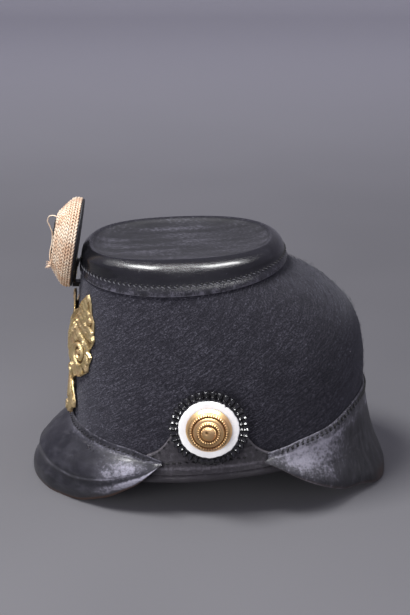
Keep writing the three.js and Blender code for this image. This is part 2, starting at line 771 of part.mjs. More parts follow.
const sidePieces = [
  ["side_gusset", gusset(), "leather"],
  ["cockade", atSide(cockade(), GUSSET_TO_COCKADE), "lacquer"],
  ["cockade_ring", atSide(cockadeRing(), GUSSET_TO_COCKADE + RING_SEAT), "white"],
  ["chin_boss", atSide(chinBoss(), GUSSET_TO_COCKADE), "brass"],
];
for (const [name, geometry, finish] of sidePieces) {
  addPiece(`${name}_left`, geometry, finish);
  addPiece(`${name}_right`, mirrored(geometry), finish);
}

export default shako;
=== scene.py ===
"""Studio picture of a military shako of about 1900.

The front of the hat looks along -X and its left side along -Y. Shapes are computed in millimetres,
as grids of points, and become meshes in metres. Angles round the hat are in degrees, 0 in front and
90 on the left side; rise is the height above the rim along the felt.
"""

import logging
import math
from dataclasses import dataclass, field
from enum import Enum

import bmesh
import bpy
import numpy as np
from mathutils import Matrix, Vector


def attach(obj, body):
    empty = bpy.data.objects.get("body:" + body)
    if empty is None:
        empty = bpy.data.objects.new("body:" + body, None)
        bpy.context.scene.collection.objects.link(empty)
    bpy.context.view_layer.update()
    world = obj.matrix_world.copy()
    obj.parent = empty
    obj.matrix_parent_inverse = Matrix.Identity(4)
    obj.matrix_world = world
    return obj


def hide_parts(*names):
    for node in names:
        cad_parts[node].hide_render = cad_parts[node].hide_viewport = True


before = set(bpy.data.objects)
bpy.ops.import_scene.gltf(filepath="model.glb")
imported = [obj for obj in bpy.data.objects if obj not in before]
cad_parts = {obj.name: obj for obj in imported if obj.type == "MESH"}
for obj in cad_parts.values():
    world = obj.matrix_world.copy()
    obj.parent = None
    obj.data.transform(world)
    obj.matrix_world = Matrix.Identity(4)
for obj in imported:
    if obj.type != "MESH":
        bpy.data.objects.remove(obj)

LOG = logging.getLogger("shako")
MM = 0.001
Array = np.ndarray
Socket = bpy.types.NodeSocket


def table(names: str, rows: list[tuple]) -> dict[str, Array]:
    """Rows of numbers as named columns.

    Args:
        names: the columns' names, in order.
        rows: one tuple for each row.
    Returns:
        The columns by name.
    """
    return dict(zip(names.split(), np.array(rows, float).T))


FELT = 2.5
FELT_BOTTOM = 6.8
FELT_TOP = 135.5
LEATHER = 1.4
PEAK_LEATHER = 2.4
GAP = 0.3
RIM_HEIGHT = 27.0
FULLNESS = 0.03
SEAM_WELT = 0.5
SEAM_BEND = 0.8

WALL = table(
    "rise slope front back half widest",
    [
        (0, 0.096, -101, 106, 85, 3),
        (22, 0.096, -99.5, 107.8, 86, 3),
        (45, 0.088, -98, 108.8, 86, 4),
        (61, 0.082, -96.8, 107.9, 84.8, 4),
        (73, 0.078, -95.9, 106.2, 83.3, 3),
        (82, 0.074, -95.2, 103.6, 81.6, 2),
        (91, 0.07, -94.6, 99.6, 79.6, 0),
        (100, 0.067, -94, 92.4, 77.3, -3),
        (109, 0.064, -93.4, 83.2, 74.6, -7),
        (116, 0.062, -92.9, 73.6, 72.2, -11),
        (122, 0.06, -92.2, 62.3, 69.8, -15),
        (129, 0.058, -91, 52.8, 66.9, -19),
        (139.5, 0.048, -88.4, 48.5, 59.6, -21),
    ],
)

CREST = {"front": -85.0, "back": 43.0, "half": 53.5, "height": 175.6, "slope": 0.036}
CREST_FULLNESS = {"front": 0.085, "back": 0.05}
CAP_EDGE = {"rise": 127.3, "lift": 4.0, "band": 5.5, "out": 2.4}
CAP_TOP = table(
    "out drop wide low",
    [
        (-53, 5, 0, 0), (-28, 5, 0, 0), (-15, 4.2, 0, 0), (-7, 2.6, 0, 0), (-3, 0.9, 0, 0),
        (-0.8, 0, 0, 0), (2.2, 1.5, 0.2, -0.8), (3.8, 3, 1.9, -0.6), (5.2, 5, 3.3, 0.5),
    ],
)
CAP_UNDER = table("out drop", [(-53, 7), (-14, 6.3), (-5, 4.4), (1.5, 5)])

PEAK_SEAM = table(
    "angle seam top",
    [
        (0, 22.5, 31.5), (25, 23.5, 30.6), (46, 21.5, 26.8), (57, 19.2, 24.2), (63, 17.6, 21.8),
        (70, 15.6, 17.4),
    ],
)
PEAK_EDGE = table(
    "x y z",
    [
        (-129.3, 0, 0), (-128.6, 10, 0), (-123.8, 24, 0), (-115, 40, 0), (-103.5, 51, 0),
        (-92.2, 60, 1.1), (-81, 67.5, 5.3), (-70.6, 74, 10.1), (-60, 80, 17.4), (-49.4, 85.2, 25.4),
        (-35.6, 88.8, 39.4),
    ],
)
PEAK_BORDER = table(
    "along raised",
    [
        (0.07, 0), (0.14, 0), (0.36, 0.1), (0.52, 0.5), (0.58, 0.8), (0.63, -0.2), (0.68, -0.9),
        (0.76, -0.2), (0.84, 0.7), (0.93, 0.6), (1, 0),
    ],
)
GUARD_SEAM = table(
    "angle seam top",
    [
        (0, 28, 33.2), (20, 27.8, 33.4), (27, 26.6, 32.2), (36, 22.6, 28.1), (45, 18.6, 23.6),
        (54, 17, 21.6), (63, 15.6, 19.6), (71, 13.8, 17.4),
    ],
)
GUARD_EDGE = table(
    "x y z",
    [
        (126.8, 0, 0), (126.3, 9, 0), (123.6, 21, 0), (117.5, 33, 2), (107, 45, 6.2), (95, 56.5, 7.8),
        (83.2, 70, 14.8), (71.8, 79, 21.7), (60, 84.5, 28.7), (50.1, 87.6, 35.4), (35.5, 88.8, 43.2),
    ],
)
GUARD_BORDER = table(
    "along raised", [(0.07, -0.5), (0.15, -1.1), (0.35, -1.9), (0.58, -1.2), (0.8, 0.7), (0.92, 1), (1, 0)]
)
GUSSET_TOP = table(
    "angle top",
    [
        (63.6, 21.6), (67.5, 24.6), (70.1, 29), (72.5, 35.4), (77, 45), (82, 52), (87, 55), (91, 51.5),
        (95, 46), (99, 36.5), (101.9, 29.4), (104.7, 23.3), (108.6, 18.3), (115, 14),
    ],
)
EAGLE_REACH = table(
    "down reach",
    [
        (0, 43), (8, 41.4), (14, 43), (21, 40.6), (28, 42), (35, 39.5), (41, 41), (45.5, 38), (50, 22),
        (62, 22), (74, 28.5), (79, 34), (84, 37.5), (90, 43.5), (97, 45), (103, 49), (108, 46.5),
        (114.3, 56), (118, 56.4), (124.7, 61.8), (129, 62), (134, 66.5), (139.6, 69), (142, 57),
        (146, 47), (152, 41), (159, 35), (166, 35.5), (169, 41), (173.5, 44.6), (180, 45.5),
    ],
)


def monotone(keys: Array, values: Array, at: Array) -> Array:
    """Reads values on a monotone cubic curve.

    On an interval of width h, with u from 0 to 1 and v = 1 - u, the value is
    p0(1 + 2u)v² + p1·u²(3 - 2u) + h·u·v(m0·v - m1·u); the slopes m are weighted harmonic means of the
    neighbouring rates, and 0 where those change sign.

    Args:
        keys: increasing keys, k of them.
        values: k values, or k rows of any shape.
        at: where to read, of any shape.
    Returns:
        The values, of the shape of at followed by that of a row.
    """
    at = np.asarray(at, float)
    tail = (1,) * (values.ndim - 1)
    step = np.diff(keys).reshape((-1,) + tail)
    rate = np.diff(values, axis=0) / step
    near, far = 2 * step[1:] + step[:-1], step[1:] + 2 * step[:-1]
    with np.errstate(divide="ignore", invalid="ignore"):
        mean = (near + far) / (near / rate[:-1] + far / rate[1:])
    inner = np.where(rate[:-1] * rate[1:] > 0, mean, 0.0)
    slope = np.concatenate([rate[:1], inner, rate[-1:]])
    i = np.clip(np.searchsorted(keys, at, side="right") - 1, 0, len(keys) - 2)
    width = step[i].reshape(at.shape + tail)
    u = (at - keys[i]).reshape(at.shape + tail) / width
    v = 1 - u
    ends = values[i] * (1 + 2 * u) * v * v + values[i + 1] * u * u * (3 - 2 * u)
    return ends + width * u * v * (slope[i] * v - slope[i + 1] * u)


def read(columns: dict[str, Array], name: str, at: Array) -> Array:
    """One column of a table, read against its first column on a monotone curve."""
    return monotone(next(iter(columns.values())), columns[name], at)


def unit(vectors: Array) -> Array:
    """The vectors, each made one long."""
    return vectors / np.maximum(np.linalg.norm(vectors, axis=-1, keepdims=True), 1e-12)


def ease(value: Array, low: float, high: float) -> Array:
    """0 below low, 1 above high, 3u² - 2u³ between them."""
    u = np.clip((value - low) / (high - low), 0, 1)
    return u * u * (3 - 2 * u)


def hump(value: Array, middle: float, width: float) -> Array:
    """exp(-((value - middle) / width)²)."""
    return np.exp(-(((value - middle) / width) ** 2))


def waves(points: Array, size: float, seed: int) -> Array:
    """Soft random undulation between about -1 and 1.

    The mean of twelve sines sin(k·p + c), with k in random directions and |k| about 2π / size.

    Args:
        points: positions in mm, the last axis x, y, z.
        size: typical wavelength in mm.
        seed: chooses the directions and phases.
    Returns:
        One value for each point.
    """
    rng = np.random.default_rng(seed)
    k = unit(rng.normal(size=(12, 3))) * (2 * math.pi / size * rng.uniform(0.6, 1.7, (12, 1)))
    return np.sin(points @ k.T + rng.uniform(0, 2 * math.pi, 12)).mean(-1) * 2.4


def wall_face(rise: Array, angle: Array) -> Array:
    """Points of the felt's outer face.

    x = w - |e - w|·cos a·f, y = -b·sin a·f, z = 27 + rise + slope·x, where w, e, b and slope are read
    at the rise and f = 1 + 0.03·sin²(2a).

    Args:
        rise: height above the rim.
        angle: angle round the hat, of the same shape.
    Returns:
        The points, with a last axis of three.
    """
    turn = np.radians(angle)
    full = 1 + FULLNESS * np.sin(2 * turn) ** 2
    end = np.where(np.cos(turn) > 0, read(WALL, "front", rise), read(WALL, "back", rise))
    widest = read(WALL, "widest", rise)
    x = widest - np.abs(end - widest) * np.cos(turn) * full
    y = -read(WALL, "half", rise) * np.sin(turn) * full
    return np.stack([x, y, RIM_HEIGHT + rise + read(WALL, "slope", rise) * x], -1)


def wall_normal(rise: Array, angle: Array) -> Array:
    """Directions straight out of the felt: the cross product of its two slopes."""
    rise, angle = np.broadcast_arrays(np.asarray(rise, float), np.asarray(angle, float))
    here = wall_face(rise, angle)
    return unit(np.cross(wall_face(rise, angle + 0.05) - here, wall_face(rise + 0.05, angle) - here))


def off_wall(rise: Array, angle: Array, out: Array) -> Array:
    """Points a distance out of the felt's outer face: face + out·normal."""
    rise, angle, out = np.broadcast_arrays(*(np.asarray(v, float) for v in (rise, angle, out)))
    return wall_face(rise, angle) + wall_normal(rise, angle) * out[..., None]


def crest_point(angle: Array, out: Array, drop: Array) -> Array:
    """Points of the crown's crest oval, moved outwards and down.

    x = m - (a + out)·cos a·f, y = -(b + out)·sin a·f, z = height + slope·x - drop, with
    f = 1 + 0.085·sin²(2a) in front and 1 + 0.05·sin²(2a) behind.

    Args:
        angle: angle round the hat.
        out: distance outside the crest.
        drop: distance below it.
    Returns:
        The points.
    """
    turn = np.radians(angle)
    fullness = np.where(np.cos(turn) > 0, CREST_FULLNESS["front"], CREST_FULLNESS["back"])
    full = 1 + fullness * np.sin(2 * turn) ** 2
    long = np.maximum((CREST["back"] - CREST["front"]) / 2 + out, 0)
    wide = np.maximum(CREST["half"] + out, 0)
    x = (CREST["front"] + CREST["back"]) / 2 - long * np.cos(turn) * full * (wide > 1)
    y = -wide * np.sin(turn) * full * (wide > 1)
    return np.stack([x, y, CREST["height"] + CREST["slope"] * x - drop], -1)


def distances(path: Array) -> Array:
    """Distance of each point of a path from its start, along it."""
    return np.concatenate([[0], np.cumsum(np.linalg.norm(np.diff(path, axis=0), axis=-1))])


def at_distance(values: Array, run: Array, where: Array) -> Array:
    """Rows of three values, given at distances along a path, read at other distances."""
    return np.stack([np.interp(where, run, values[:, i]) for i in range(3)], -1)


def around(radius: Array, turn: Array, height: Array) -> Array:
    """Points round +Z: (r·cos φ, r·sin φ, height)."""
    return np.stack([radius * np.cos(turn), radius * np.sin(turn), height + 0 * radius], -1)


def smooth_path(points: Array, count: int) -> Array:
    """Profiles drawn as smooth curves through a few points each.

    The curves' parameter is the distance along the profile, averaged over the profiles.

    Args:
        points: profiles × points × 3.
        count: how many points each profile gets.
    Returns:
        profiles × count × 3.
    """
    chord = np.linalg.norm(np.diff(points, axis=1), axis=-1).mean(0)
    keys = np.concatenate([[0], np.cumsum(np.maximum(chord, 1e-3))])
    drawn = monotone(keys, points.transpose(1, 0, 2), np.linspace(0, keys[-1], count))
    return drawn.transpose(1, 0, 2)


def edge_curve(edge: dict[str, Array], count: int) -> Array:
    """The lower edge of a visor, evenly divided from its left corner to its right one.

    A centripetal Catmull-Rom curve: each span is a cubic whose end slopes come from the neighbouring
    chords d over the square roots of their lengths.

    Args:
        edge: the edge from its tip to one corner.
        count: how many points to give.
    Returns:
        count × 3 points.
    """
    half = np.stack([edge["x"], -edge["y"], edge["z"]], -1)
    p = np.concatenate([half[::-1], half[1:] * [1, -1, 1]])
    p = np.concatenate([[2 * p[0] - p[1]], p, [2 * p[-1] - p[-2]]])
    t = np.sqrt(np.linalg.norm(np.diff(p, axis=0), axis=-1))[:, None]
    rate = np.diff(p, axis=0) / t
    slope = rate[:-1] - (p[2:] - p[:-2]) / (t[:-1] + t[1:]) + rate[1:]
    u = np.linspace(0, 1, 24, endpoint=False)[:, None, None]
    h00, h10 = (1 + 2 * u) * (1 - u) ** 2, u * (1 - u) ** 2
    h01, h11 = u * u * (3 - 2 * u), u * u * (u - 1)
    span = h00 * p[1:-2] + h10 * slope[:-1] * t[1:-1] + h01 * p[2:-1] + h11 * slope[1:] * t[1:-1]
    fine = np.concatenate([span.transpose(1, 0, 2).reshape(-1, 3), p[-2:-1]])
    run = distances(fine)
    return at_distance(fine, run, np.linspace(0, run[-1], count))


@dataclass
class Sheet:
    """A surface, or many alike, as grids of points in millimetres.

    Attributes:
        points: grids × rows × columns × 3, or one grid without the first axis.
        closed_rows: the last row joins the first one.
        closed_columns: the last column joins the first one.
        marks: named values for each point, such as how worn it is.
    """

    points: Array
    closed_rows: bool = False
    closed_columns: bool = False
    marks: dict[str, Array] = field(default_factory=dict)

    def measured(self, axis: int, closed: bool) -> Array:
        """Distance along one axis of the grid, averaged over the rest, with a last step if closed."""
        points = self.points
        if closed:
            points = np.concatenate([points, np.take(points, [0], axis=axis)], axis=axis)
        step = np.linalg.norm(np.diff(points, axis=axis), axis=-1)
        other = tuple(i for i in range(step.ndim) if i != axis)
        return np.concatenate([[0], np.cumsum(step.mean(other))])

    def arrays(self) -> tuple[Array, Array, Array]:
        """The grid as a mesh.

        Returns:
            Vertices, faces of four vertices, and the faces' texture places in millimetres.
        """
        if self.points.ndim == 3:
            self.points = self.points[None]
            self.marks = {name: np.asarray(mark)[None] for name, mark in self.marks.items()}
        grids, rows, columns = self.points.shape[:3]
        i = np.arange(rows if self.closed_rows else rows - 1)[:, None, None]
        j = np.arange(columns if self.closed_columns else columns - 1)[None, :, None]
        row, column = i + np.array([0, 1, 1, 0]), j + np.array([0, 0, 1, 1])
        corner = (row % rows) * columns + column % columns
        faces = np.arange(grids)[:, None, None] * rows * columns + corner.reshape(1, -1, 4)
        u = self.measured(1, self.closed_rows)[row] + 0 * column
        v = self.measured(2, self.closed_columns)[column] + 0 * row
        places = np.tile(np.stack([u, v], -1).reshape(-1, 2), (grids, 1))
        return self.points.reshape(-1, 3), faces.reshape(-1, 4), places


def thick(skin: Array, lining: Array, closed: bool, marks: dict[str, Array] | None = None) -> list[Sheet]:
    """A closed body between an outer and an inner face.

    Args:
        skin: profiles × points × 3.
        lining: the inner face, of the same shape.
        closed: the profiles go all the way round.
        marks: values for each point of the skin; the lining gets the same.
    Returns:
        The sheets of its surface, which share their border points.
    """
    loop = np.concatenate([skin, lining[:, ::-1]], axis=1)
    both = {name: np.concatenate([mark, mark[:, ::-1]], axis=1) for name, mark in (marks or {}).items()}
    sheets = [Sheet(loop, closed_rows=closed, closed_columns=True, marks=both)]
    if not closed:
        sheets += [Sheet(np.stack([skin[end], lining[end]], 1)) for end in (0, -1)]
    return sheets


def tube(path: Array, normal: Array, radius: Array, sides: int = 8, closed: bool = False) -> Sheet:
    """Tubes along paths.

    p(s, φ) = path(s) + r(s, φ)·(cos φ·side + sin φ·normal), with side = tangent × normal.

    Args:
        path: tubes × steps × 3.
        normal: directions across the path, of the same shape.
        radius: tubes × steps, or tubes × steps × sides; 0 at an end closes it.
        sides: points round the tube.
        closed: the paths are rings.
    Returns:
        The tubes' surface.
    """
    ahead = np.roll(path, -1, 1) - np.roll(path, 1, 1)
    if not closed:
        ahead[:, 0] = path[:, 1] - path[:, 0]
        ahead[:, -1] = path[:, -1] - path[:, -2]
    side = unit(np.cross(unit(ahead), normal))
    normal = unit(np.cross(side, ahead))
    turn = np.arange(sides) / sides * 2 * math.pi
    around = np.cos(turn)[:, None] * side[:, :, None] + np.sin(turn)[:, None] * normal[:, :, None]
    radius = np.asarray(radius, float)
    radius = radius[..., None] if radius.ndim == 2 else radius
    return Sheet(path[:, :, None] + around * radius[..., None], closed, True)


def lathe(profile: Array, back: Array, sides: int, shape: Array | float = 0.0) -> Sheet:
    """A round body about +Z with closed poles.

    Args:
        profile: points × 2, radius and height of the front from the middle out.
        back: the same for the back.
        sides: how many directions.
        shape: added to the front's height, sides × points.
    Returns:
        The body's surface.
    """
    turn = np.arange(sides)[:, None] / sides * 2 * math.pi
    loop = np.concatenate([profile, back[::-1]])
    height = np.tile(loop[:, 1], (sides, 1))
    height[:, : len(profile)] += shape
    return Sheet(around(loop[:, 0], turn, height), closed_rows=True, closed_columns=True)


class Graph:
    """The node tree of one material, with short methods for the nodes it uses."""

    def __init__(self, name: str) -> None:
        """Makes the material with one Principled shader."""
        self.material = bpy.data.materials.new(name)
        self.material.use_nodes = True
        self.tree = self.material.node_tree
        self.tree.nodes.clear()
        self.shader = self.tree.nodes.new("ShaderNodeBsdfPrincipled")
        output = self.tree.nodes.new("ShaderNodeOutputMaterial")
        self.tree.links.new(self.shader.outputs[0], output.inputs["Surface"])

    def node(self, kind: str, inputs: dict, **settings) -> bpy.types.Node:
        """Adds a node.

        Args:
            kind: its type without the leading ShaderNode.
            inputs: values or sockets, by the input's name or number.
            settings: its properties.
        Returns:
            The node.
        """
        node = self.tree.nodes.new("ShaderNode" + kind)
        for name, value in settings.items():
            setattr(node, name, value)
        for name, value in inputs.items():
            self.feed(node.inputs[name], value)
        return node

    def feed(self, socket: Socket, value: object) -> None:
        """Links a socket, or sets its constant value."""
        if isinstance(value, bpy.types.NodeSocket):
            self.tree.links.new(value, socket)
        elif socket.type == "RGBA" and len(value) == 3:
            socket.default_value = (*value, 1.0)
        else:
            socket.default_value = value

    def place(self, stretch: tuple[float, float, float] = (1, 1, 1), turn: float = 0.0) -> Socket:
        """Object coordinates in millimetres, turned about Y and stretched."""
        source = self.node("TexCoord", {}).outputs["Object"]
        scale = tuple(1000 * s for s in stretch)
        mapping = {"Vector": source, "Scale": scale, "Rotation": (0, math.radians(turn), 0)}
        return self.node("Mapping", mapping).outputs[0]

    def along(self, stretch: tuple[float, float], turn: float = 0.0) -> Socket:
        """Texture places in millimetres, turned and stretched."""
        source = self.node("UVMap", {}, uv_map="place").outputs[0]
        turned = self.node("Mapping", {"Vector": source, "Rotation": (0, 0, math.radians(turn))}).outputs[0]
        return self.node("Mapping", {"Vector": turned, "Scale": (*stretch, 1)}).outputs[0]

    def mark(self, name: str) -> Socket:
        """A value stored on the mesh's points."""
        return self.node("Attribute", {}, attribute_name=name).outputs["Fac"]

    def noise(self, vector: Socket, size: float, detail: float = 3, rough: float = 0.55) -> Socket:
        """Noise with features of a size in millimetres."""
        inputs = {"Vector": vector, "Scale": 1 / size, "Detail": detail, "Roughness": rough}
        return self.node("TexNoise", inputs).outputs["Fac"]

    def cells(self, vector: Socket, size: float, feature: str = "F1") -> Socket:
        """Distance to the nearest of scattered points, or to the edge of its cell."""
        inputs = {"Vector": vector, "Scale": 1 / size}
        return self.node("TexVoronoi", inputs, feature=feature).outputs["Distance"]

    def calc(self, how: str, a: object, b: object = 0.0) -> Socket:
        """One sum of two numbers or sockets."""
        return self.node("Math", {0: a, 1: b}, operation=how).outputs[0]

    def fade(self, value: Socket, low: float, high: float, start: float = 0.0, end: float = 1.0) -> Socket:
        """Start below low, end above high, smooth between them."""
        inputs = {"Value": value, "From Min": low, "From Max": high, "To Min": start, "To Max": end}
        return self.node("MapRange", inputs, interpolation_type="SMOOTHSTEP").outputs["Result"]

    def mix(self, share: object, first: object, second: object) -> Socket:
        """The first colour, with a share of the second one."""
        node = self.node("Mix", {0: share}, data_type="RGBA")
        self.feed(node.inputs[6], first)
        self.feed(node.inputs[7], second)
        return node.outputs[2]

    def bump(self, height: Socket, depth: float, under: Socket | None = None) -> Socket:
        """A normal from a height of 0 to 1 that stands for a depth in millimetres."""
        inputs = {"Height": height, "Distance": depth * MM, "Strength": 1.0}
        if under is not None:
            inputs["Normal"] = under
        return self.node("Bump", inputs).outputs[0]

    def finish(self, **sockets) -> bpy.types.Material:
        """Feeds the shader; names have _ for a space.

        Args:
            sockets: values or sockets of the shader's inputs.
        Returns:
            The material.
        """
        for name, value in sockets.items():
            self.feed(self.shader.inputs[name.replace("_", " ")], value)
        return self.material


@dataclass(frozen=True)
class Wool:
    """Black wool cloth with a fine diagonal twill, fuzz and specks of lint."""

    name: str = "black_wool"
    dark: tuple = (0.012, 0.0115, 0.016)
    light: tuple = (0.17, 0.164, 0.205)
    lint: tuple = (0.6, 0.6, 0.64)
    rib: float = 1.9
    turn: float = -30.0

    def material(self) -> bpy.types.Material:
        """Ribs and fibres run along one diagonal; lint sits in a few of many scattered cells."""
        g = Graph(self.name)
        mm = g.place()
        fibre = g.noise(g.along((0.42, 1.0), self.turn), self.rib * 0.5, 5, 0.8)
        ribs = g.noise(g.along((0.14, 1.0), self.turn), self.rib, 2, 0.5)
        fuzz = g.noise(mm, 0.8, 4, 0.8)
        worn = g.noise(mm, 26, 3, 0.6)
        share = g.calc("MULTIPLY", g.fade(fibre, 0.45, 0.72), g.fade(ribs, 0.38, 0.6, 0.2, 1.0))
        share = g.calc("ADD", g.calc("MULTIPLY", share, 0.7), g.fade(fuzz, 0.52, 0.74, 0, 0.5))
        share = g.calc("MULTIPLY", share, g.fade(worn, 0.3, 0.7, 0.7, 1.1))
        some = g.fade(g.noise(mm, 14), 0.62, 0.68)
        speck = g.calc("MULTIPLY", g.fade(g.cells(mm, 5.5), 0.05, 0.085, 1, 0), some)
        colour = g.mix(speck, g.mix(share, self.dark, self.light), self.lint)
        height = g.calc("ADD", g.calc("MULTIPLY", ribs, 0.7), g.calc("MULTIPLY", fibre, 0.6))
        normal = g.bump(height, 0.5, g.bump(fuzz, 0.35))
        return g.finish(
            Base_Color=colour,
            Roughness=0.95,
            Normal=normal,
            Specular_IOR_Level=0.15,
            Sheen_Weight=0.16,
            Sheen_Roughness=0.45,
            Sheen_Tint=(0.75, 0.76, 0.86),
        )


@dataclass(frozen=True)
class Leather:
    """Blackened leather.

    Attributes:
        name: material name.
        colour: of the clean dark face.
        worn: of rubbed places, and of painted highlights, where the mark "worn" is high.
        raw: of the cut edge, where the mark "raw" is high.
        shine: roughness of the polish.
        spread: how much the roughness varies.
        dull: roughness of rubbed and dusty places.
        grain: size of the pores in millimetres.
        depth: depth of the grain in millimetres.
        coat: weight of the polish.
        streak: how strongly brushed streaks show.
        stretch: how the streaks' pattern is squeezed along x, y and z; they run where it is least.
    """

    name: str
    colour: tuple = (0.005, 0.005, 0.0075)
    worn: tuple = (0.125, 0.12, 0.152)
    raw: tuple = (0.045, 0.024, 0.017)
    shine: float = 0.24
    spread: float = 0.12
    dull: float = 0.6
    grain: float = 0.8
    depth: float = 0.05
    coat: float = 0.25
    streak: float = 0.4
    stretch: tuple = (0.15, 1.0, 1.0)

    def material(self) -> bpy.types.Material:
        """Pores and cracks over slow unevenness; the marks make it rubbed light, dull or raw, and the worn
        mark also paints highlights.
        """
        g = Graph(self.name)
        mm = g.place()
        pores = g.cells(mm, self.grain, "DISTANCE_TO_EDGE")
        fine = g.noise(mm, self.grain * 0.45, 5, 0.7)
        slow = g.noise(mm, 17, 4, 0.6)
        scuff = g.noise(mm, 2.4, 6, 0.72)
        streaks = g.noise(g.place(self.stretch), 4.5, 6, 0.7)
        worn = g.mark("worn")
        speckled = g.fade(g.calc("ADD", scuff, g.calc("MULTIPLY", worn, 0.42)), 0.6, 0.92)
        brushed = g.calc("MULTIPLY", g.fade(streaks, 0.42, 0.78), self.streak)
        rubbed = g.calc("MULTIPLY", worn, g.fade(fine, 0.4, 0.65, 0.1, 1.0))
        share = g.calc("ADD", g.calc("MULTIPLY", speckled, 0.55), g.calc("MULTIPLY", rubbed, 0.45))
        share = g.calc("ADD", share, g.calc("MULTIPLY", brushed, 0.3))
        tinted = g.mix(g.fade(slow, 0.35, 0.7, 0, 0.5), self.colour, tuple(1.7 * c for c in self.colour))
        colour = g.mix(g.mark("raw"), g.mix(share, tinted, self.worn), self.raw)
        rough = g.fade(slow, 0.3, 0.75, self.shine, self.shine + self.spread)
        rough = g.calc("ADD", rough, g.calc("MULTIPLY", share, 0.35))
        rough = g.calc("ADD", rough, g.calc("MULTIPLY", g.mark("matte"), 0.3))
        rough = g.calc("MINIMUM", rough, self.dull + 0.3)
        height = g.calc("ADD", g.fade(pores, 0.0, 0.12), g.calc("MULTIPLY", fine, 0.6))
        normal = g.bump(height, self.depth, g.bump(slow, 0.25))
        return g.finish(
            Base_Color=colour,
            Roughness=rough,
            Normal=normal,
            Coat_Weight=self.coat,
            Coat_Roughness=max(self.shine - 0.1, 0.06),
            Specular_IOR_Level=0.5,
        )


@dataclass(frozen=True)
class Enamel:
    """Lacquered black metal or paper with dust in its folds."""

    name: str
    colour: tuple = (0.006, 0.006, 0.007)
    dust: tuple = (0.09, 0.085, 0.08)
    shine: float = 0.09

    def material(self) -> bpy.types.Material:
        """Dust gathers where the mark "fold" is high and in patches of noise."""
        g = Graph(self.name)
        mm = g.place()
        patch = g.calc("MULTIPLY", g.fade(g.noise(mm, 1.6, 5, 0.7), 0.48, 0.8), g.mark("fold"))
        colour = g.mix(g.calc("MULTIPLY", patch, 0.6), self.colour, self.dust)
        rough = g.calc("ADD", g.fade(g.noise(mm, 4), 0.3, 0.7, self.shine, self.shine + 0.1), patch)
        normal = g.bump(g.noise(mm, 0.9, 3), 0.06)
        return g.finish(
            Base_Color=colour, Roughness=rough, Normal=normal, Coat_Weight=0.5, Coat_Roughness=0.05
        )


@dataclass(frozen=True)
class WhitePaint:
    """White oil paint with grime and brush marks."""

    name: str = "white_paint"
    colour: tuple = (0.92, 0.91, 0.9)
    grime: tuple = (0.26, 0.22, 0.17)

    def material(self) -> bpy.types.Material:
        """Grime lies at the ring's edges, where the mark "fold" is high."""
        g = Graph(self.name)
        mm = g.place()
        spots = g.calc("MULTIPLY", g.fade(g.noise(mm, 1.1, 5, 0.7), 0.5, 0.85), g.mark("fold"))
        soft = g.fade(g.noise(mm, 7, 3), 0.4, 0.8, 0, 0.12)
        colour = g.mix(g.calc("ADD", spots, soft), self.colour, self.grime)
        normal = g.bump(g.noise(g.along((0.12, 1)), 0.5, 4), 0.12)
        return g.finish(Base_Color=colour, Roughness=0.42, Normal=normal, Specular_IOR_Level=0.5)


@dataclass(frozen=True)
class Brass:
    """Gilt brass, dark with tarnish in its hollows and rubbed bright on its ridges; on the eagle the dark
    also paints shadow at the feathers' borders.
    """

    name: str
    bright: tuple = (0.93, 0.63, 0.31)
    dark: tuple = (0.13, 0.06, 0.02)
    tint: tuple = (0.78, 0.42, 0.24)
    shine: float = 0.4
    chased: float = 0.05

    def material(self) -> bpy.types.Material:
        """The mark "ridge" runs from 0 in a hollow to 1 on a ridge."""
        g = Graph(self.name)
        mm = g.place()
        stain = g.noise(mm, 3.2, 5, 0.68)
        ridge = g.calc("ADD", g.mark("ridge"), g.calc("MULTIPLY", g.calc("SUBTRACT", stain, 0.5), 0.7))
        body = g.mix(g.fade(g.noise(mm, 9, 3), 0.42, 0.75, 0, 0.45), self.bright, self.tint)
        colour = g.mix(g.fade(ridge, 0.12, 0.62, 0.85, 0), body, self.dark)
        rough = g.fade(ridge, 0.1, 0.75, self.shine + 0.28, self.shine)
        scratches = g.noise(g.place((1, 1, 0.1), 35), 0.3, 4)
        normal = g.bump(scratches, 0.025, g.bump(g.noise(mm, 1.3, 3), self.chased))
        return g.finish(Base_Color=colour, Metallic=1.0, Roughness=rough, Normal=normal)


@dataclass(frozen=True)
class Thread:
    """Metal thread spun round cord, silver with coppery tarnish and painted shade between the strands."""

    name: str
    pale: tuple = (0.8, 0.67, 0.52)
    copper: tuple = (0.58, 0.35, 0.21)
    dark: tuple = (0.06, 0.03, 0.018)

    def material(self) -> bpy.types.Material:
        """Copper shows in large patches; painted shade darkens it between the strands, where the mark
        "ridge" is low.
        """
        g = Graph(self.name)
        mm = g.place()
        patch = g.fade(g.noise(mm, 9, 6, 0.75), 0.4, 0.6)
        grit = g.noise(mm, 0.7, 4, 0.8)
        spun = g.mix(g.calc("MULTIPLY", patch, 0.75), self.pale, self.copper)
        ridge = g.calc("ADD", g.mark("ridge"), g.calc("MULTIPLY", g.calc("SUBTRACT", grit, 0.5), 0.9))
        # Where ridge is low the colour turns dark: painted shade between the strands.
        low = g.fade(ridge, 0.2, 0.8, 1, 0)
        colour = g.mix(g.calc("MULTIPLY", low, 0.8), spun, self.dark)
        normal = g.bump(g.noise(g.along((1, 0.4)), 0.25, 3), 0.12)
        return g.finish(
            Base_Color=colour, Metallic=0.3, Roughness=g.fade(grit, 0.3, 0.7, 0.45, 0.7), Normal=normal
        )


@dataclass(frozen=True)
class Velvet:
    """Black velvet."""

    name: str = "black_pile"
    colour: tuple = (0.006, 0.0055, 0.006)

    def material(self) -> bpy.types.Material:
        """Deep black with a soft sheen and crushed patches."""
        g = Graph(self.name)
        mm = g.place()
        crushed = g.fade(g.noise(mm, 5, 4), 0.4, 0.75)
        colour = g.mix(g.calc("MULTIPLY", crushed, 0.5), self.colour, (0.03, 0.028, 0.03))
        normal = g.bump(g.noise(mm, 0.35, 3), 0.25)
        return g.finish(
            Base_Color=colour, Roughness=1.0, Normal=normal, Specular_IOR_Level=0.05, Sheen_Weight=0.3
        )


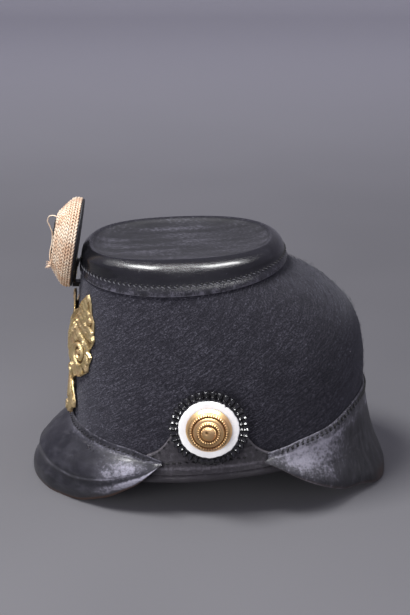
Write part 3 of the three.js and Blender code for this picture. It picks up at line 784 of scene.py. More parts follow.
@dataclass(frozen=True)
class Iron:
    """Dark lacquered iron with a little rust."""

    name: str
    colour: tuple = (0.012, 0.011, 0.011)
    rust: tuple = (0.12, 0.04, 0.018)

    def material(self) -> bpy.types.Material:
        """Rust in small patches over black."""
        g = Graph(self.name)
        mm = g.place()
        spots = g.fade(g.noise(mm, 1.8, 5, 0.7), 0.58, 0.75)
        normal = g.bump(g.noise(mm, 0.6, 4), 0.1)
        return g.finish(
            Base_Color=g.mix(spots, self.colour, self.rust),
            Metallic=0.6,
            Roughness=g.fade(spots, 0, 1, 0.4, 0.8),
            Normal=normal,
        )


class Finish(Enum):
    """The finishes of the hat's pieces, each with its slot in the record."""

    FELT = ("wool_felt", Wool())
    CROWN = (
        "crown_leather",
        Leather(
            "crown_lacquer",
            colour=(0.004, 0.004, 0.005),
            shine=0.2,
            spread=0.04,
            coat=0.25,
            depth=0.02,
            grain=0.7,
            streak=0.15,
        ),
    )
    PEAK = (
        "peak_leather",
        Leather(
            "peak_wax",
            worn=(0.36, 0.35, 0.42),
            shine=0.24,
            spread=0.08,
            streak=0.25,
            stretch=(0.25, 0.5, 1.0),
        ),
    )
    GUARD = (
        "guard_leather",
        Leather(
            "guard_hide",
            worn=(0.48, 0.465, 0.54),
            shine=0.38,
            coat=0.08,
            depth=0.1,
            streak=0.35,
            stretch=(1, 1, 0.2),
        ),
    )
    RIM = (
        "rim_leather",
        Leather(
            "rim_hide",
            colour=(0.022, 0.02, 0.023),
            worn=(0.15, 0.14, 0.16),
            shine=0.45,
            coat=0.03,
            depth=0.14,
            grain=1.1,
            stretch=(0.4, 1, 1),
        ),
    )
    COCKADE = ("black_enamel", Enamel("cockade_enamel"))
    RING = ("white_enamel", WhitePaint())
    BOSS = ("boss_brass", Brass("boss_gilt"))
    EAGLE = (
        "eagle_brass",
        Brass("eagle_gilt", bright=(1.0, 0.8, 0.41), dark=(0.17, 0.095, 0.03), chased=0.4),
    )
    BACKING = ("badge_leather", Leather("badge_black", shine=0.5, coat=0.0))
    CORD = ("silver_cord", Thread("wound_thread"))
    CENTRE = ("black_velvet", Velvet())
    PIN = ("pin_iron", Iron("black_iron"))
    THREAD = (
        "rim_leather",
        Leather(
            "waxed_thread",
            colour=(0.004, 0.004, 0.004),
            shine=0.5,
            coat=0.0,
            grain=0.3,
            streak=0.0,
        ),
    )
    GREY_THREAD = (
        "crown_leather",
        Leather(
            "grey_thread",
            colour=(0.03, 0.03, 0.034),
            worn=(0.13, 0.13, 0.145),
            shine=0.5,
            coat=0.0,
            grain=0.3,
        ),
    )

    def material(self) -> bpy.types.Material:
        """The finish's material, made once."""
        look = self.value[1]
        return bpy.data.materials.get(look.name) or look.material()


def add_piece(
    name: str,
    sheets: list[Sheet],
    finish: Finish,
    stands_for: str = "",
    sharp: float = 40.0,
    mirror: bool = False,
) -> bpy.types.Object:
    """Makes one object of sheets, welds their shared points and dresses it.

    Args:
        name: the object's name.
        sheets: its surfaces.
        finish: its material.
        stands_for: the CAD node that it replaces, or an empty string.
        sharp: edges sharper than this many degrees stay sharp.
        mirror: makes it on the other side of the hat's middle plane.
    Returns:
        The object.
    """
    parts = [sheet.arrays() for sheet in sheets]
    start = np.cumsum([0] + [len(part[0]) for part in parts])
    points = np.concatenate([part[0] for part in parts]) * MM * np.array([1, -1 if mirror else 1, 1])
    faces = np.concatenate([part[1] + start[i] for i, part in enumerate(parts)])
    mesh = bpy.data.meshes.new(name)
    mesh.from_pydata(points, [], faces)
    layer = mesh.uv_layers.new(name="place")
    layer.data.foreach_set("uv", np.concatenate([part[2] for part in parts]).astype(np.float32).ravel())
    for mark in sorted({key for sheet in sheets for key in sheet.marks}):
        values = [np.broadcast_to(s.marks.get(mark, 0.0), s.points.shape[:3]).ravel() for s in sheets]
        attribute = mesh.attributes.new(mark, "FLOAT", "POINT")
        attribute.data.foreach_set("value", np.concatenate(values).astype(np.float32))
    work = bmesh.new()
    work.from_mesh(mesh)
    bmesh.ops.remove_doubles(work, verts=work.verts, dist=2e-6)
    bmesh.ops.recalc_face_normals(work, faces=work.faces)
    work.to_mesh(mesh)
    work.free()
    mesh.shade_smooth()
    mesh.set_sharp_from_angle(angle=math.radians(sharp))
    piece = bpy.data.objects.new(name, mesh)
    bpy.context.scene.collection.objects.link(piece)
    mesh.materials.append(finish.material())
    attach(piece, "root")
    if stands_for:
        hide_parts(stands_for)
    LOG.info("%s: %d faces", name, len(mesh.polygons))
    return piece


@dataclass(frozen=True)
class StitchRow:
    """A row of stitches over a seam.

    Attributes:
        pitch: distance from stitch to stitch.
        length: length of one stitch.
        radius: half its thickness.
        slant: degrees that it leans from the seam.
    """

    pitch: float = 4.0
    length: float = 2.6
    radius: float = 0.42
    slant: float = 18.0

    def sheet(self, path: Array, normal: Array, seed: int = 1) -> Sheet:
        """Small spindles laid along a path.

        Each one is a tube whose radius is r·sqrt(1 - t²), t from -1 to 1 along it.

        Args:
            path: points of the seam.
            normal: directions out of the leather there.
            seed: chooses their small differences.
        Returns:
            The stitches' surface.
        """
        rng = np.random.default_rng(seed)
        run = distances(path)
        count = int(run[-1] // self.pitch)
        at = (np.arange(count) + 0.5) * run[-1] / count + rng.normal(0, 0.15, count)
        middle, out = at_distance(path, run, at), unit(at_distance(normal, run, at))
        ahead = unit(at_distance(path, run, at + 0.5) - at_distance(path, run, at - 0.5))
        lean = np.radians(self.slant + rng.normal(0, 5, count))[:, None]
        along = ahead * np.cos(lean) + np.cross(out, ahead) * np.sin(lean)
        t = np.linspace(-1, 1, 7)
        reach = (self.length / 2 * rng.uniform(0.85, 1.1, count))[:, None, None]
        sunk = out[:, None] * (0.15 - 0.35 * (t**2)[:, None])
        spindle = middle[:, None] + along[:, None] * reach * t[:, None] + sunk
        radius = np.tile(self.radius * np.sqrt(np.maximum(1 - t**2, 0)), (count, 1))
        return tube(spindle, np.repeat(out[:, None], len(t), 1), radius, 6)

    def on_felt(self, rise: Array, angle: Array, out: Array | float, seed: int = 1) -> Sheet:
        """The row over a seam on the hat's wall.

        Args:
            rise: heights of the seam's points.
            angle: their angles round the hat.
            out: their distance off the felt.
            seed: chooses the stitches' small differences.
        Returns:
            The stitches' surface.
        """
        return self.sheet(off_wall(rise, angle, out), wall_normal(rise, angle), seed)


@dataclass(frozen=True)
class FeltBody:
    """The wool-covered felt body and the fuzz on it."""

    stations: int = 300
    levels: int = 90
    hairs: int = 6500

    def face(self, rise: Array, angle: Array) -> Array:
        """The felt's outer face, moved by up to 0.35 mm of soft undulation."""
        here = off_wall(rise, angle, 0.0)
        return off_wall(rise, angle, 0.3 * waves(here, 60, 3) + 0.12 * waves(here, 17, 4) - 0.15)

    def build(self) -> None:
        """Adds the body and its fuzz."""
        angle = (np.arange(self.stations) * 360 / self.stations)[:, None]
        rise = np.linspace(FELT_BOTTOM, FELT_TOP, self.levels)[None]
        lining = off_wall(rise, angle, -FELT)
        add_piece("felt_body", thick(self.face(rise, angle), lining, True), Finish.FELT, "body_shell")
        self.fuzz()

    def fuzz(self) -> None:
        """Short bent hairs that lie along the twill or stand off it."""
        rng = np.random.default_rng(7)
        count = self.hairs
        rise, angle = rng.uniform(18, 128, count), rng.uniform(0, 360, count)
        lean = np.radians(rng.normal(28, 30, count))
        length = rng.gamma(3.0, 0.75, count)
        lift = rng.gamma(1.4, 0.36, count)
        t = np.linspace(0, 1, 5)[None]
        bend = rng.normal(0, 0.5, (count, 1))
        across = np.cos(lean[:, None] + bend * t) * length[:, None] * t / 1.65
        upward = np.sin(lean[:, None] + bend * t) * length[:, None] * t
        sign = np.where((angle % 360) > 180, -1, 1)[:, None]
        path = off_wall(
            rise[:, None] + upward, angle[:, None] + sign * across, 0.05 + lift[:, None] * np.sin(2.2 * t)
        )
        radius = 0.075 * np.sqrt(1 - t**2) * np.ones((count, 1))
        radius[:, 0] = 0
        normal = np.repeat(wall_normal(rise, angle)[:, None], t.shape[1], 1)
        add_piece("felt_fuzz", [tube(path, normal, radius, 3)], Finish.FELT)


@dataclass(frozen=True)
class CrownCap:
    """The leather crown cap with its stitched band."""

    stations: int = 288
    steps: int = 84

    @staticmethod
    def edge_rise(angle: Array) -> Array:
        """127.3 + 4·cos² a."""
        return CAP_EDGE["rise"] + CAP_EDGE["lift"] * np.cos(np.radians(angle)) ** 2

    def build(self) -> None:
        """Adds the cap, moved out at the sides by the columns wide and low, then its stitches."""
        angle = (np.arange(self.stations) * 360 / self.stations)[:, None]
        edge = self.edge_rise(angle)
        band = np.array([[CAP_EDGE["band"], 2.5, 0.8, 0]])
        stand = np.array([[CAP_EDGE["out"], 2.3, 2.1, 1.5]])
        along = np.cos(np.radians(angle))
        side = ease(along, 0.64, 0.17) * (1 - 0.6 * ease(along, -0.5, -0.97))
        out, drop, wide, low = (CAP_TOP[key][None] for key in ("out", "drop", "wide", "low"))
        top = crest_point(angle, out + wide * side, drop + low * side)
        skin = smooth_path(np.concatenate([top, off_wall(edge + band, angle, stand)], 1), self.steps)
        share = np.linspace(0, 1, self.steps)[None] + 0 * angle
        dish = 1 - ease(share, 0.67, 0.7)
        lump = 0.25 * waves(skin, 46, 11) + 0.06 * waves(skin, 12, 12)
        skin[..., 2] += lump * (1 - ease(share, 0.5, 0.6))
        under = crest_point(angle, CAP_UNDER["out"][None], CAP_UNDER["drop"][None])
        foot = np.concatenate([np.full_like(edge, FELT_TOP + GAP), edge + CAP_EDGE["band"] / 2, edge], 1)
        lining = smooth_path(np.concatenate([under, off_wall(foot, angle, GAP)], 1), self.steps)
        above = np.clip(skin[..., 2] - skin[:, -1:, 2], 0, 60)
        worn = 0.5 * hump(above, 0, 0.9) + 0.12 * hump(above, 4.5, 2.0)
        # The worn mark's thin line at the crest is a painted highlight along the dish's rim.
        crest = hump(share, 0.705, 0.008)
        worn = worn + 0.5 * dish * (0.6 + 0.4 * waves(skin * [0.5, 2.0, 1.0], 24, 14)) + 0.5 * crest
        worn = worn + 0.5 * hump(share, 0.985, 0.035) * (0.6 + 0.4 * waves(skin, 9, 15))
        marks = {"worn": worn, "matte": dish}
        add_piece("crown_cap_leather", thick(skin, lining, True, marks), Finish.CROWN, "crown_cap")
        self.stitch()

    def stitch(self) -> None:
        """Adds the stitches round the band, and beside them dark spindles of painted shade where the thread
        goes into the leather.
        """
        turn = np.linspace(0, 360, 721)
        edge = self.edge_rise(turn)
        stitches = StitchRow(4.0, 2.9, 0.4, -32).on_felt(edge + 5, turn, CAP_EDGE["out"] + 0.1)
        stitches.marks = {"worn": np.full(stitches.points.shape[:3], 0.8)}
        add_piece("crown_stitches", [stitches], Finish.GREY_THREAD)
        # Black spindles beside the stitches are painted shade where the thread goes into the leather.
        hole_shade = StitchRow(4.0, 1.5, 0.55, 40).on_felt(edge + 5.9, turn, CAP_EDGE["out"])
        add_piece("crown_stitch_hole_shade", [hole_shade], Finish.THREAD)


@dataclass(frozen=True)
class Visor:
    """A stitched leather visor: the front peak or the neck guard.

    Attributes:
        name: name of its CAD node.
        seam: rises of its seam and of its flange's upper edge.
        edge: its lower edge.
        border: relief between seam and edge.
        spread: angle from its middle to its corner.
        middle: angle of its middle.
        sign: the way in which its stations run.
        bulge: height of its arch.
        finish: its leather.
    """

    name: str
    seam: dict
    edge: dict
    border: dict
    spread: float
    middle: float
    sign: int
    bulge: float
    finish: Finish
    stations: int = 201
    steps: int = 60

    def lift(self, side: Array) -> Array:
        """How far the flange's back stands off the felt: more over the gusset."""
        return GAP + (LEATHER + GAP) * ease(side, self.spread - 13, self.spread - 7)

    def build(self) -> None:
        """Adds the visor and the stitches along its flange."""
        t = np.linspace(-1, 1, self.stations)
        side = np.abs(t) * self.spread
        angle = self.middle - self.sign * t * self.spread
        lift = self.lift(side)
        seam, top = read(self.seam, "seam", side), read(self.seam, "top", side)
        rim = edge_curve(self.edge, self.stations)
        rim[:, 2] = np.maximum(rim[:, 2], 0)
        start = off_wall(seam, angle, lift + LEATHER + SEAM_WELT)
        under = off_wall(seam - PEAK_LEATHER, angle, lift)
        slope = rim - start
        long = np.linalg.norm(slope, axis=-1)
        out = wall_normal(seam, angle)
        out = unit(out - slope * ((out * slope).sum(-1) / long**2)[:, None])
        size = ease(long, 6, 34)[:, None]
        flat = wall_normal(seam, angle) * [1, 1, 0]
        inner = rim - unit(flat) * (LEATHER + (PEAK_LEATHER - LEATHER) * size)
        along = self.border["along"]
        arch = self.bulge * 4 * along * (1 - along) * size
        rise = np.stack([top, (top + 2 * seam) / 3, seam + SEAM_BEND], -1)
        flange = off_wall(rise, angle[:, None], (lift + LEATHER)[:, None] - np.array([0.5, 0, 0]))
        lifted = rim + np.array([0, 0, 1.5]) * size
        body = start[:, None] + (lifted - start)[:, None] * along[:, None]
        body = body + out[:, None] * (arch + self.border["raised"] * size)[..., None]
        cut = rim - unit(flat) * 0.9 * size
        skin = smooth_path(np.concatenate([flange, start[:, None], body], 1), self.steps)
        skin[:, 1:-1] += (out[:, None] * (0.25 * waves(skin, 38, 21) * size)[..., None])[:, 1:-1]
        back = off_wall(rise, angle[:, None], lift[:, None])
        below = under[:, None] + (inner - under)[:, None] * along[:, None] + out[:, None] * arch[..., None]
        lining = smooth_path(np.concatenate([back, under[:, None], below], 1), self.steps + 1)
        skin = np.concatenate([skin, cut[:, None]], 1)
        add_piece(
            self.name + "_leather",
            thick(skin, lining, False, self.marks(skin, side)),
            self.finish,
            self.name,
            sharp=50,
        )
        self.stitch(side, angle, seam, top, lift)

    def marks(self, skin: Array, side: Array) -> dict[str, Array]:
        """Worn, raw and matte places on the skin's grid; on the peak the worn mark also paints a highlight
        along the border's crest line and shade in the valley next to it.
        """
        share = np.linspace(0, 1, skin.shape[1])[None] + 0 * side[:, None]
        far = side[:, None] / self.spread
        if self.finish is Finish.PEAK:
            patch = hump(far, 0.8, 0.13) * hump(share, 0.5, 0.22)
            patch = patch + 1.3 * hump(far, 0.84, 0.2) * hump(share, 0.87, 0.1)
            # A thin line of worn along the border's crest is a painted highlight.
            patch = patch + 0.6 * hump(share, 0.66, 0.018) * hump(far, 0.5, 0.4)
            patch = patch + 0.45 * hump(share, 0.12, 0.06)
            # Less worn in the valley next to the crest: painted shade.
            patch = patch * (1 - 0.8 * hump(share, 0.75, 0.035))
        else:
            patch = 0.95 * hump(far, 0.76, 0.24) * hump(share, 0.5, 0.42) + 0.5 * hump(share, 0.2, 0.08)
            patch = patch + 0.35 * hump(share, 0.06, 0.05)
        rub = 0.5 + 0.5 * waves(skin, 22, 31)
        worn = patch * (0.5 + 0.7 * rub) + 0.5 * hump(share, 1, 0.012) + 0.4 * hump(share, 0, 0.02)
        raw = np.zeros_like(share)
        raw[:, -2:] = 1.0
        if self.finish is Finish.GUARD:
            raw = raw * 0.5 + hump(far, 0.16, 0.07) * hump(share, 0.93, 0.06) * 0.8
        return {"worn": np.clip(worn, 0, 1), "raw": np.clip(raw, 0, 1), "matte": 0.4 * share}

    def stitch(self, side: Array, angle: Array, seam: Array, top: Array, lift: Array) -> None:
        """Rows of stitches on the flange, as far as it is wide enough."""
        rows = [0.45] if self.finish is Finish.PEAK else [0.35, 0.75]
        keep = side < self.spread - 4
        out = (lift + LEATHER + 0.45)[keep]
        sheets = []
        for i, share in enumerate(rows):
            rise = (seam + (top - seam) * share)[keep]
            sheets.append(StitchRow(4.0, 2.4, 0.55, 24).on_felt(rise, angle[keep], out, 5 + i))
        add_piece(self.name + "_stitches", sheets, Finish.THREAD)


@dataclass(frozen=True)
class Gusset:
    """The leather piece at the side that rises to a point under the cockade."""

    stations: int = 140
    steps: int = 40

    def build(self, mirror: bool) -> None:
        """Adds one gusset with its stitches.

        Args:
            mirror: makes the right side's one.
        """
        side = "right" if mirror else "left"
        angle = np.linspace(GUSSET_TOP["angle"][0], GUSSET_TOP["angle"][-1], self.stations)
        top = read(GUSSET_TOP, "top", angle)
        share = np.linspace(0, 1, self.steps)[None]
        rise = FELT_BOTTOM + (top[:, None] - FELT_BOTTOM) * share
        dip = 0.45 * hump(share, 1, 0.05) + 0.12 * hump(rise, 9.5, 1.2)
        wrinkle = 0.14 * waves(off_wall(rise, angle[:, None], 0), 9, 41) * ease(share, 0, 0.1)
        skin = off_wall(rise, angle[:, None], GAP + LEATHER + wrinkle - dip)
        lining = off_wall(rise, angle[:, None], GAP)
        worn = 0.3 + 0.45 * hump(rise, 11.5, 1.2) + 0.4 * hump(share, 0.97, 0.05)
        marks = {"worn": worn, "raw": 0.25 * hump(share, 1, 0.02) + 0 * rise, "matte": 0.6 + 0 * rise}
        add_piece(
            "gusset_leather_" + side,
            thick(skin, lining, False, marks),
            Finish.RIM,
            "side_gusset_" + side,
            mirror=mirror,
        )
        row = angle[(angle > 70.5) & (angle < 102)]
        out = GAP + LEATHER
        sheets = [StitchRow(4.2, 2.7, 0.6, -24).on_felt(16.2 + 0.4 * np.sin(row / 3), row, out + 0.45, 9)]
        for low, high in ((65, 76.5), (98, 111)):
            part = (angle > low) & (angle < high)
            sheets.append(StitchRow(4.6, 1.7, 0.6, 0).on_felt(top[part] - 2.2, angle[part], out + 0.4, 10))
        add_piece("gusset_stitches_" + side, sheets, Finish.THREAD, mirror=mirror)


@dataclass(frozen=True)
class RimRoll:
    """The leather roll round the whole rim."""

    stations: int = 360
    sides: int = 20

    def build(self) -> None:
        """Adds the roll, an ellipse 5.4 × 6.2 mm carried round the rim, with small wrinkles."""
        angle = (np.arange(self.stations) * 360 / self.stations)[:, None]
        turn = (np.arange(self.sides) / self.sides * 2 * math.pi)[None]
        bare = off_wall(3.2 + 3.1 * np.sin(turn), angle, -0.9 + 2.7 * np.cos(turn))
        wrinkle = 0.13 * waves(bare * [1, 1, 0.3], 7, 51)
        points = off_wall(3.2 + 3.1 * np.sin(turn), angle, -0.9 + (2.7 + wrinkle) * np.cos(turn))
        worn = 0.35 * hump(turn, 0.9, 0.35) + 0 * angle
        sheet = Sheet(points, True, True, {"worn": worn, "matte": 0.3 + 0 * worn})
        add_piece("rim_roll_leather", [sheet], Finish.RIM, "rim_roll")


@dataclass(frozen=True)
class SideCockade:
    """The fluted cockade at the side, its painted ring and the stepped boss on it."""

    angle: float = 86.9
    rise: float = 40.7
    radius: float = 27.0
    flutes: int = 36
    ring: tuple[float, float] = (14.4, 20.4)

    def placed(self, sheet: Sheet, out: float) -> Sheet:
        """The sheet, made about +Z, set on the side of the hat.

        Args:
            sheet: one grid round the +Z axis.
            out: distance of its foot off the felt.
        Returns:
            The sheet in the hat's frame.
        """
        normal = wall_normal(self.rise, self.angle)
        right = unit(np.cross([0, 0, 1], normal))
        axes = np.stack([right, np.cross(normal, right), normal])
        return Sheet(
            sheet.points @ axes + off_wall(self.rise, self.angle, out),
            sheet.closed_rows,
            sheet.closed_columns,
            sheet.marks,
        )

    def disc(self) -> Sheet:
        """The fluted disc.

        Its height is 2.6 - 1.3·|sin(n·φ/2)| at the rim, less towards the ring, and the flutes' ends
        are cut as points: radius = 27·(1 - 0.045·|sin(n·φ/2)|).

        Returns:
            The disc about +Z.
        """
        sides = self.flutes * 14
        turn = np.arange(sides)[:, None] / sides * 2 * math.pi
        radius = np.array([[0, 8, 13, 17, 19.3, 20, 21, 22, 22.6, 23.0, 23.6, 24.6, 25.6, 26.4, 27.0, 27.2]])
        valley = np.abs(np.sin(self.flutes * turn / 2))
        wobble = 0.25 * np.sin(5 * turn + 1) + 0.2 * np.sin(9 * turn)
        deep = ease(radius, 19.5, 21.5)
        height = 1.9 + 1.0 * deep - (1.5 + 0.5 * wobble) * deep * valley
        height = height - 0.55 * hump(radius, 23.1, 0.45) - 1.4 * ease(radius, 26.2, 27.3)
        cut = 1 - 0.045 * valley * ease(radius, 21, 26)
        front, flat = around(radius * cut, turn, height), around(radius * cut, turn, 0 * height)
        marks = {"fold": np.concatenate([deep * valley, 0 * height[:, ::-1]], 1)}
        return Sheet(np.concatenate([front, flat[:, ::-1]], 1), True, True, marks)

    def painted_ring(self) -> Sheet:
        """The flat ring with an uneven edge and a notch at one place."""
        sides = 240
        turn = np.arange(sides)[:, None] / sides * 2 * math.pi
        inner, outer = self.ring
        notch = 0.9 * hump(turn, 0.98, 0.035) + 0.5 * hump(turn, 1.12, 0.03)
        uneven = 0.12 * np.sin(7 * turn) + 0.1 * np.sin(17 * turn + 2) + 0.08 * np.sin(31 * turn)
        edge = outer + uneven - notch
        share = np.array([[0, 0, 0.04, 0.12, 0.35, 0.65, 0.86, 0.95, 1, 1, 0.5]])
        height = np.array([[0.1, 0.8, 1.2, 1.3, 1.3, 1.3, 1.25, 1.1, 0.7, 0.1, 0.0]])
        radius = inner + (edge - inner) * share
        grime = (share > 0.9) * 0.7 + (share < 0.06) * 1.0 + 0 * radius
        return Sheet(around(radius, turn, height), True, True, {"fold": grime})

    def boss(self) -> Sheet:
        """The stepped boss.

        On its lathe profile lie two rings of beads, each of height sqrt(1 - q²) with q the distance
        from a bead's middle over its radius, and a dent in the dome.

        Returns:
            The boss about +Z.
        """
        steps = np.array(
            [
                (0, 8.2), (1.8, 8.1), (3.2, 7.6), (4.2, 6.9), (4.8, 6.2), (5.3, 5.9), (5.9, 6.0), (7.0, 6.2),
                (8.0, 5.8), (8.5, 5.3), (9.4, 5.1), (10.2, 4.6), (10.7, 3.9), (11.3, 3.8), (12.2, 3.9),
                (13.0, 3.4), (13.4, 2.8), (14.2, 1.9), (15.0, 0.9), (15.45, 0.25), (15.5, 0),
            ]
        )
        radius = np.concatenate([np.linspace(0, 15.3, 90), [15.45, 15.5]])
        height = np.interp(radius, steps[:, 0], steps[:, 1])
        sides = 360
        turn = np.arange(sides)[:, None] / sides * 2 * math.pi
        beads = 0
        for middle, size, count in ((12.1, 0.8, 44), (7.0, 0.75, 27), (4.9, 0.4, 32)):
            swing = (turn * count / (2 * math.pi) + 0.5) % 1 - 0.5
            away = np.hypot(radius - middle, swing * 2 * math.pi * middle / count)
            beads = beads + size * np.sqrt(np.maximum(1 - (away / (size * 1.08)) ** 2, 0))
        x, y = radius * np.cos(turn), radius * np.sin(turn)
        dent = 0.7 * hump(np.hypot(x + 1.3, y - 1.2), 0, 1.1)
        groove = 0.25 * hump(radius, 10.9, 0.3) + 0.3 * hump(radius, 5.6, 0.25)
        shape = beads - dent - groove
        back = np.array([(0, -1.8), (5, -1.8), (5, 0), (15.5, 0)])
        sheet = lathe(np.stack([radius, height], -1), back, sides, shape)
        near = np.minimum(hump(radius, 12.1, 1.1) + hump(radius, 7.0, 1.0), 1)
        ridge = np.clip(0.62 + 0.6 * beads - 0.5 * near - 1.2 * groove - 0.9 * dent, 0, 1)
        ridge = ridge - 0.25 * hump(radius, 13.6, 0.25) - 0.2 * hump(radius, 9.0, 0.3)
        sheet.marks = {"ridge": np.concatenate([ridge, np.full((sides, len(back)), 0.3)], 1)}
        return sheet

    def build(self, mirror: bool) -> None:
        """Adds the disc, the ring and the boss of one side.

        Args:
            mirror: makes the right side's ones.
        """
        side = "_right" if mirror else "_left"
        foot = 2 * GAP + LEATHER
        pieces = (
            ("cockade_disc", self.disc(), foot, Finish.COCKADE, "cockade"),
            ("cockade_paint", self.painted_ring(), foot + 1.9 + GAP, Finish.RING, "cockade_ring"),
            ("boss_brass", self.boss(), foot + 4.0, Finish.BOSS, "chin_boss"),
        )
        for name, sheet, out, finish, node in pieces:
            add_piece(name + side, [self.placed(sheet, out)], finish, node + side, sharp=32, mirror=mirror)


@dataclass(frozen=True)
class FieldBadge:
    """The oval badge wound of metal cord at the front of the crown."""

    foot: tuple[float, float, float] = (-98.2, 0.0, 138.6)
    lean: float = 9.3
    height: float = 64.5
    width: float = 50.0

    def placed(self, depth: Array, across: Array, up: Array) -> Array:
        """Points given by depth towards the front, place across and height, leaned and set in place."""
        turn = math.radians(self.lean)
        x = -depth * math.cos(turn) + up * math.sin(turn)
        z = depth * math.sin(turn) + up * math.cos(turn)
        return np.stack([x, across + 0 * x, z], -1) + np.array(self.foot)

    def oval(self, depth: Array, inset: Array, turn: Array) -> Array:
        """Points of an oval: (h/2 - inset) tall and (w/2 - inset) wide, at a depth."""
        wide, tall = self.width / 2, self.height / 2
        return self.placed(depth, (wide - inset) * np.sin(turn), tall + (tall - inset) * np.cos(turn))

    def cords(self) -> Sheet:
        """Rows of two-ply cord, twisted one way and the other in turn.

        Row k is a ring tube of radius R·(1 + 0.2·|cos(φ + d·n·s)|), d being 1 or -1 and n·s the turns
        of twist along the ring.

        Returns:
            All rows.
        """
        rows = np.array(
            [
                (2.2, 1.0, 0.95), (4.0, 0.9, 0.95), (5.8, 1.2, 0.95), (7.5, 2.1, 0.95), (9.0, 3.8, 1.0),
                (10.3, 5.4, 1.0), (11.6, 7.0, 1.0), (12.9, 8.7, 1.0), (14.2, 10.3, 1.0), (15.5, 12.0, 1.0),
                (16.2, 13.8, 0.95), (15.6, 15.5, 0.9),
            ]
        )
        steps, sides = 560, 10
        turn = (np.arange(steps) / steps * 2 * math.pi)[None]
        depth, inset, size = (rows[:, i : i + 1] for i in range(3))
        path = self.oval(depth, inset, turn)
        hub = self.placed(np.array(0.0), np.array(0.0), np.array(self.height / 2))
        perimeter = np.linalg.norm(np.diff(path, axis=1, append=path[:, :1]), axis=-1).sum(1)
        twists = np.round(perimeter / 4.6)[:, None, None]
        way = np.where(np.arange(len(rows)) % 2 == 0, 1, -1)[:, None, None]
        phase = np.arange(sides) / sides * 2 * math.pi + way * twists * turn[..., None]
        ply = np.abs(np.cos(phase))
        radius = size[..., None] * (0.7 + 0.42 * ply)
        shake = 0.09 * waves(path, 9, 61)[..., None] * unit(path - hub)
        sheet = tube(path + shake, unit(path - hub), radius, sides, closed=True)
        # ridge is low between the plies, where the cord's material paints shade.
        sheet.marks = {"ridge": 0.15 + 0.85 * ply}
        return sheet

    def core(self) -> Sheet:
        """The body under the cords, with the pocket for the velvet; its low ridge mark paints it dark as
        shade under the cords.
        """
        turn = (np.arange(96) / 96 * 2 * math.pi)[:, None]
        depth = np.array([[1.5, 2.6, 6.4, 9.4, 15.6, 16.2, 14.8, 14.8, 1.5]])
        inset = np.array([[0.9, 0.7, 1.2, 4.4, 13.4, 14.6, 16.4, 25, 25]])
        # A low ridge everywhere paints the core in shade.
        return Sheet(self.oval(depth, inset, turn), True, True, {"ridge": np.full((96, 9), 0.2)})

    def disc(self, rows: list[tuple[float, float]]) -> Sheet:
        """A closed oval disc from rows of depth and inset."""
        turn = (np.arange(96) / 96 * 2 * math.pi)[:, None]
        depth, inset = np.array(rows).T
        return Sheet(self.oval(depth, inset, turn), True, True)

    def loose_wire(self) -> Sheet:
        """The loop of wire that stands out of the pocket, and a few frayed ends of thread."""
        loop = np.array(
            [
                (15.5, 14, 52), (18.5, 13, 52.8), (22, 11, 51), (22.8, 9.5, 47.5), (20.5, 8.5, 43),
                (18.3, 8, 38), (17.8, 8.6, 32), (18.2, 9.5, 26), (17.6, 10.5, 21), (16.2, 11, 18),
            ]
        )
        keys = np.linspace(0, 1, len(loop))
        at = np.linspace(0, 1, 60)
        drawn = monotone(keys, loop, at)
        path = self.placed(drawn[:, 0], -drawn[:, 1], drawn[:, 2])[None]
        radius = 0.42 * np.minimum(1, np.minimum(at, 1 - at) * 40)[None]
        return tube(path, np.tile([0.0, 1.0, 0.0], (1, 60, 1)), radius, 8)

    def frayed(self) -> Sheet:
        """A tuft of thread ends at the lower front of the pocket's rim."""
        rng = np.random.default_rng(12)
        count, t = 26, np.linspace(0, 1, 6)[None]
        depth = 16.6 + rng.uniform(1.5, 4.0, (count, 1)) * t
        across = -(9 + rng.normal(0, 1.5, (count, 1)) + rng.normal(0, 1.0, (count, 1)) * t)
        up = 16.5 + rng.normal(0, 1.4, (count, 1)) - rng.uniform(-1.5, 3.0, (count, 1)) * t**2
        radius = 0.16 * np.sqrt(1 - t**2) * np.ones((count, 1))
        normal = np.tile([0.0, 1.0, 0.2], (count, 6, 1))
        return tube(self.placed(depth, across, up), normal, radius, 4)

    def build(self) -> None:
        """Adds the cords, the backing, the velvet, the loose wire and the pin."""
        add_piece("badge_cords", [self.cords(), self.core()], Finish.CORD, "badge_wound_cord", sharp=80)
        wire, tuft = self.loose_wire(), self.frayed()
        for sheet in (wire, tuft):
            sheet.marks = {"ridge": np.full(sheet.points.shape[:3], 1.0)}
        add_piece("badge_loose_wire", [wire, tuft], Finish.CORD, sharp=80)
        backing = self.disc([(1.2, 25), (1.2, 1.3), (0.95, 0.9), (0.25, 0.9), (0, 1.3), (0, 25)])
        add_piece("badge_back_leather", [backing], Finish.BACKING, "badge_backing")
        centre = self.disc(
            [(18.5, 25), (18.5, 20.5), (18.4, 18.6), (18.1, 17.6), (17.2, 17.1), (15.1, 16.9), (15.1, 25)]
        )
        add_piece("badge_velvet", [centre], Finish.CENTRE, "badge_centre")
        dress_node("badge_pin", Finish.PIN)


def dress_node(node: str, finish: Finish) -> None:
    """Gives a CAD node that stays in view a finish of its own.

    Args:
        node: its name.
        finish: its material.
    """
    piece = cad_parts[node]
    piece.data.materials.clear()
    piece.data.materials.append(finish.material())


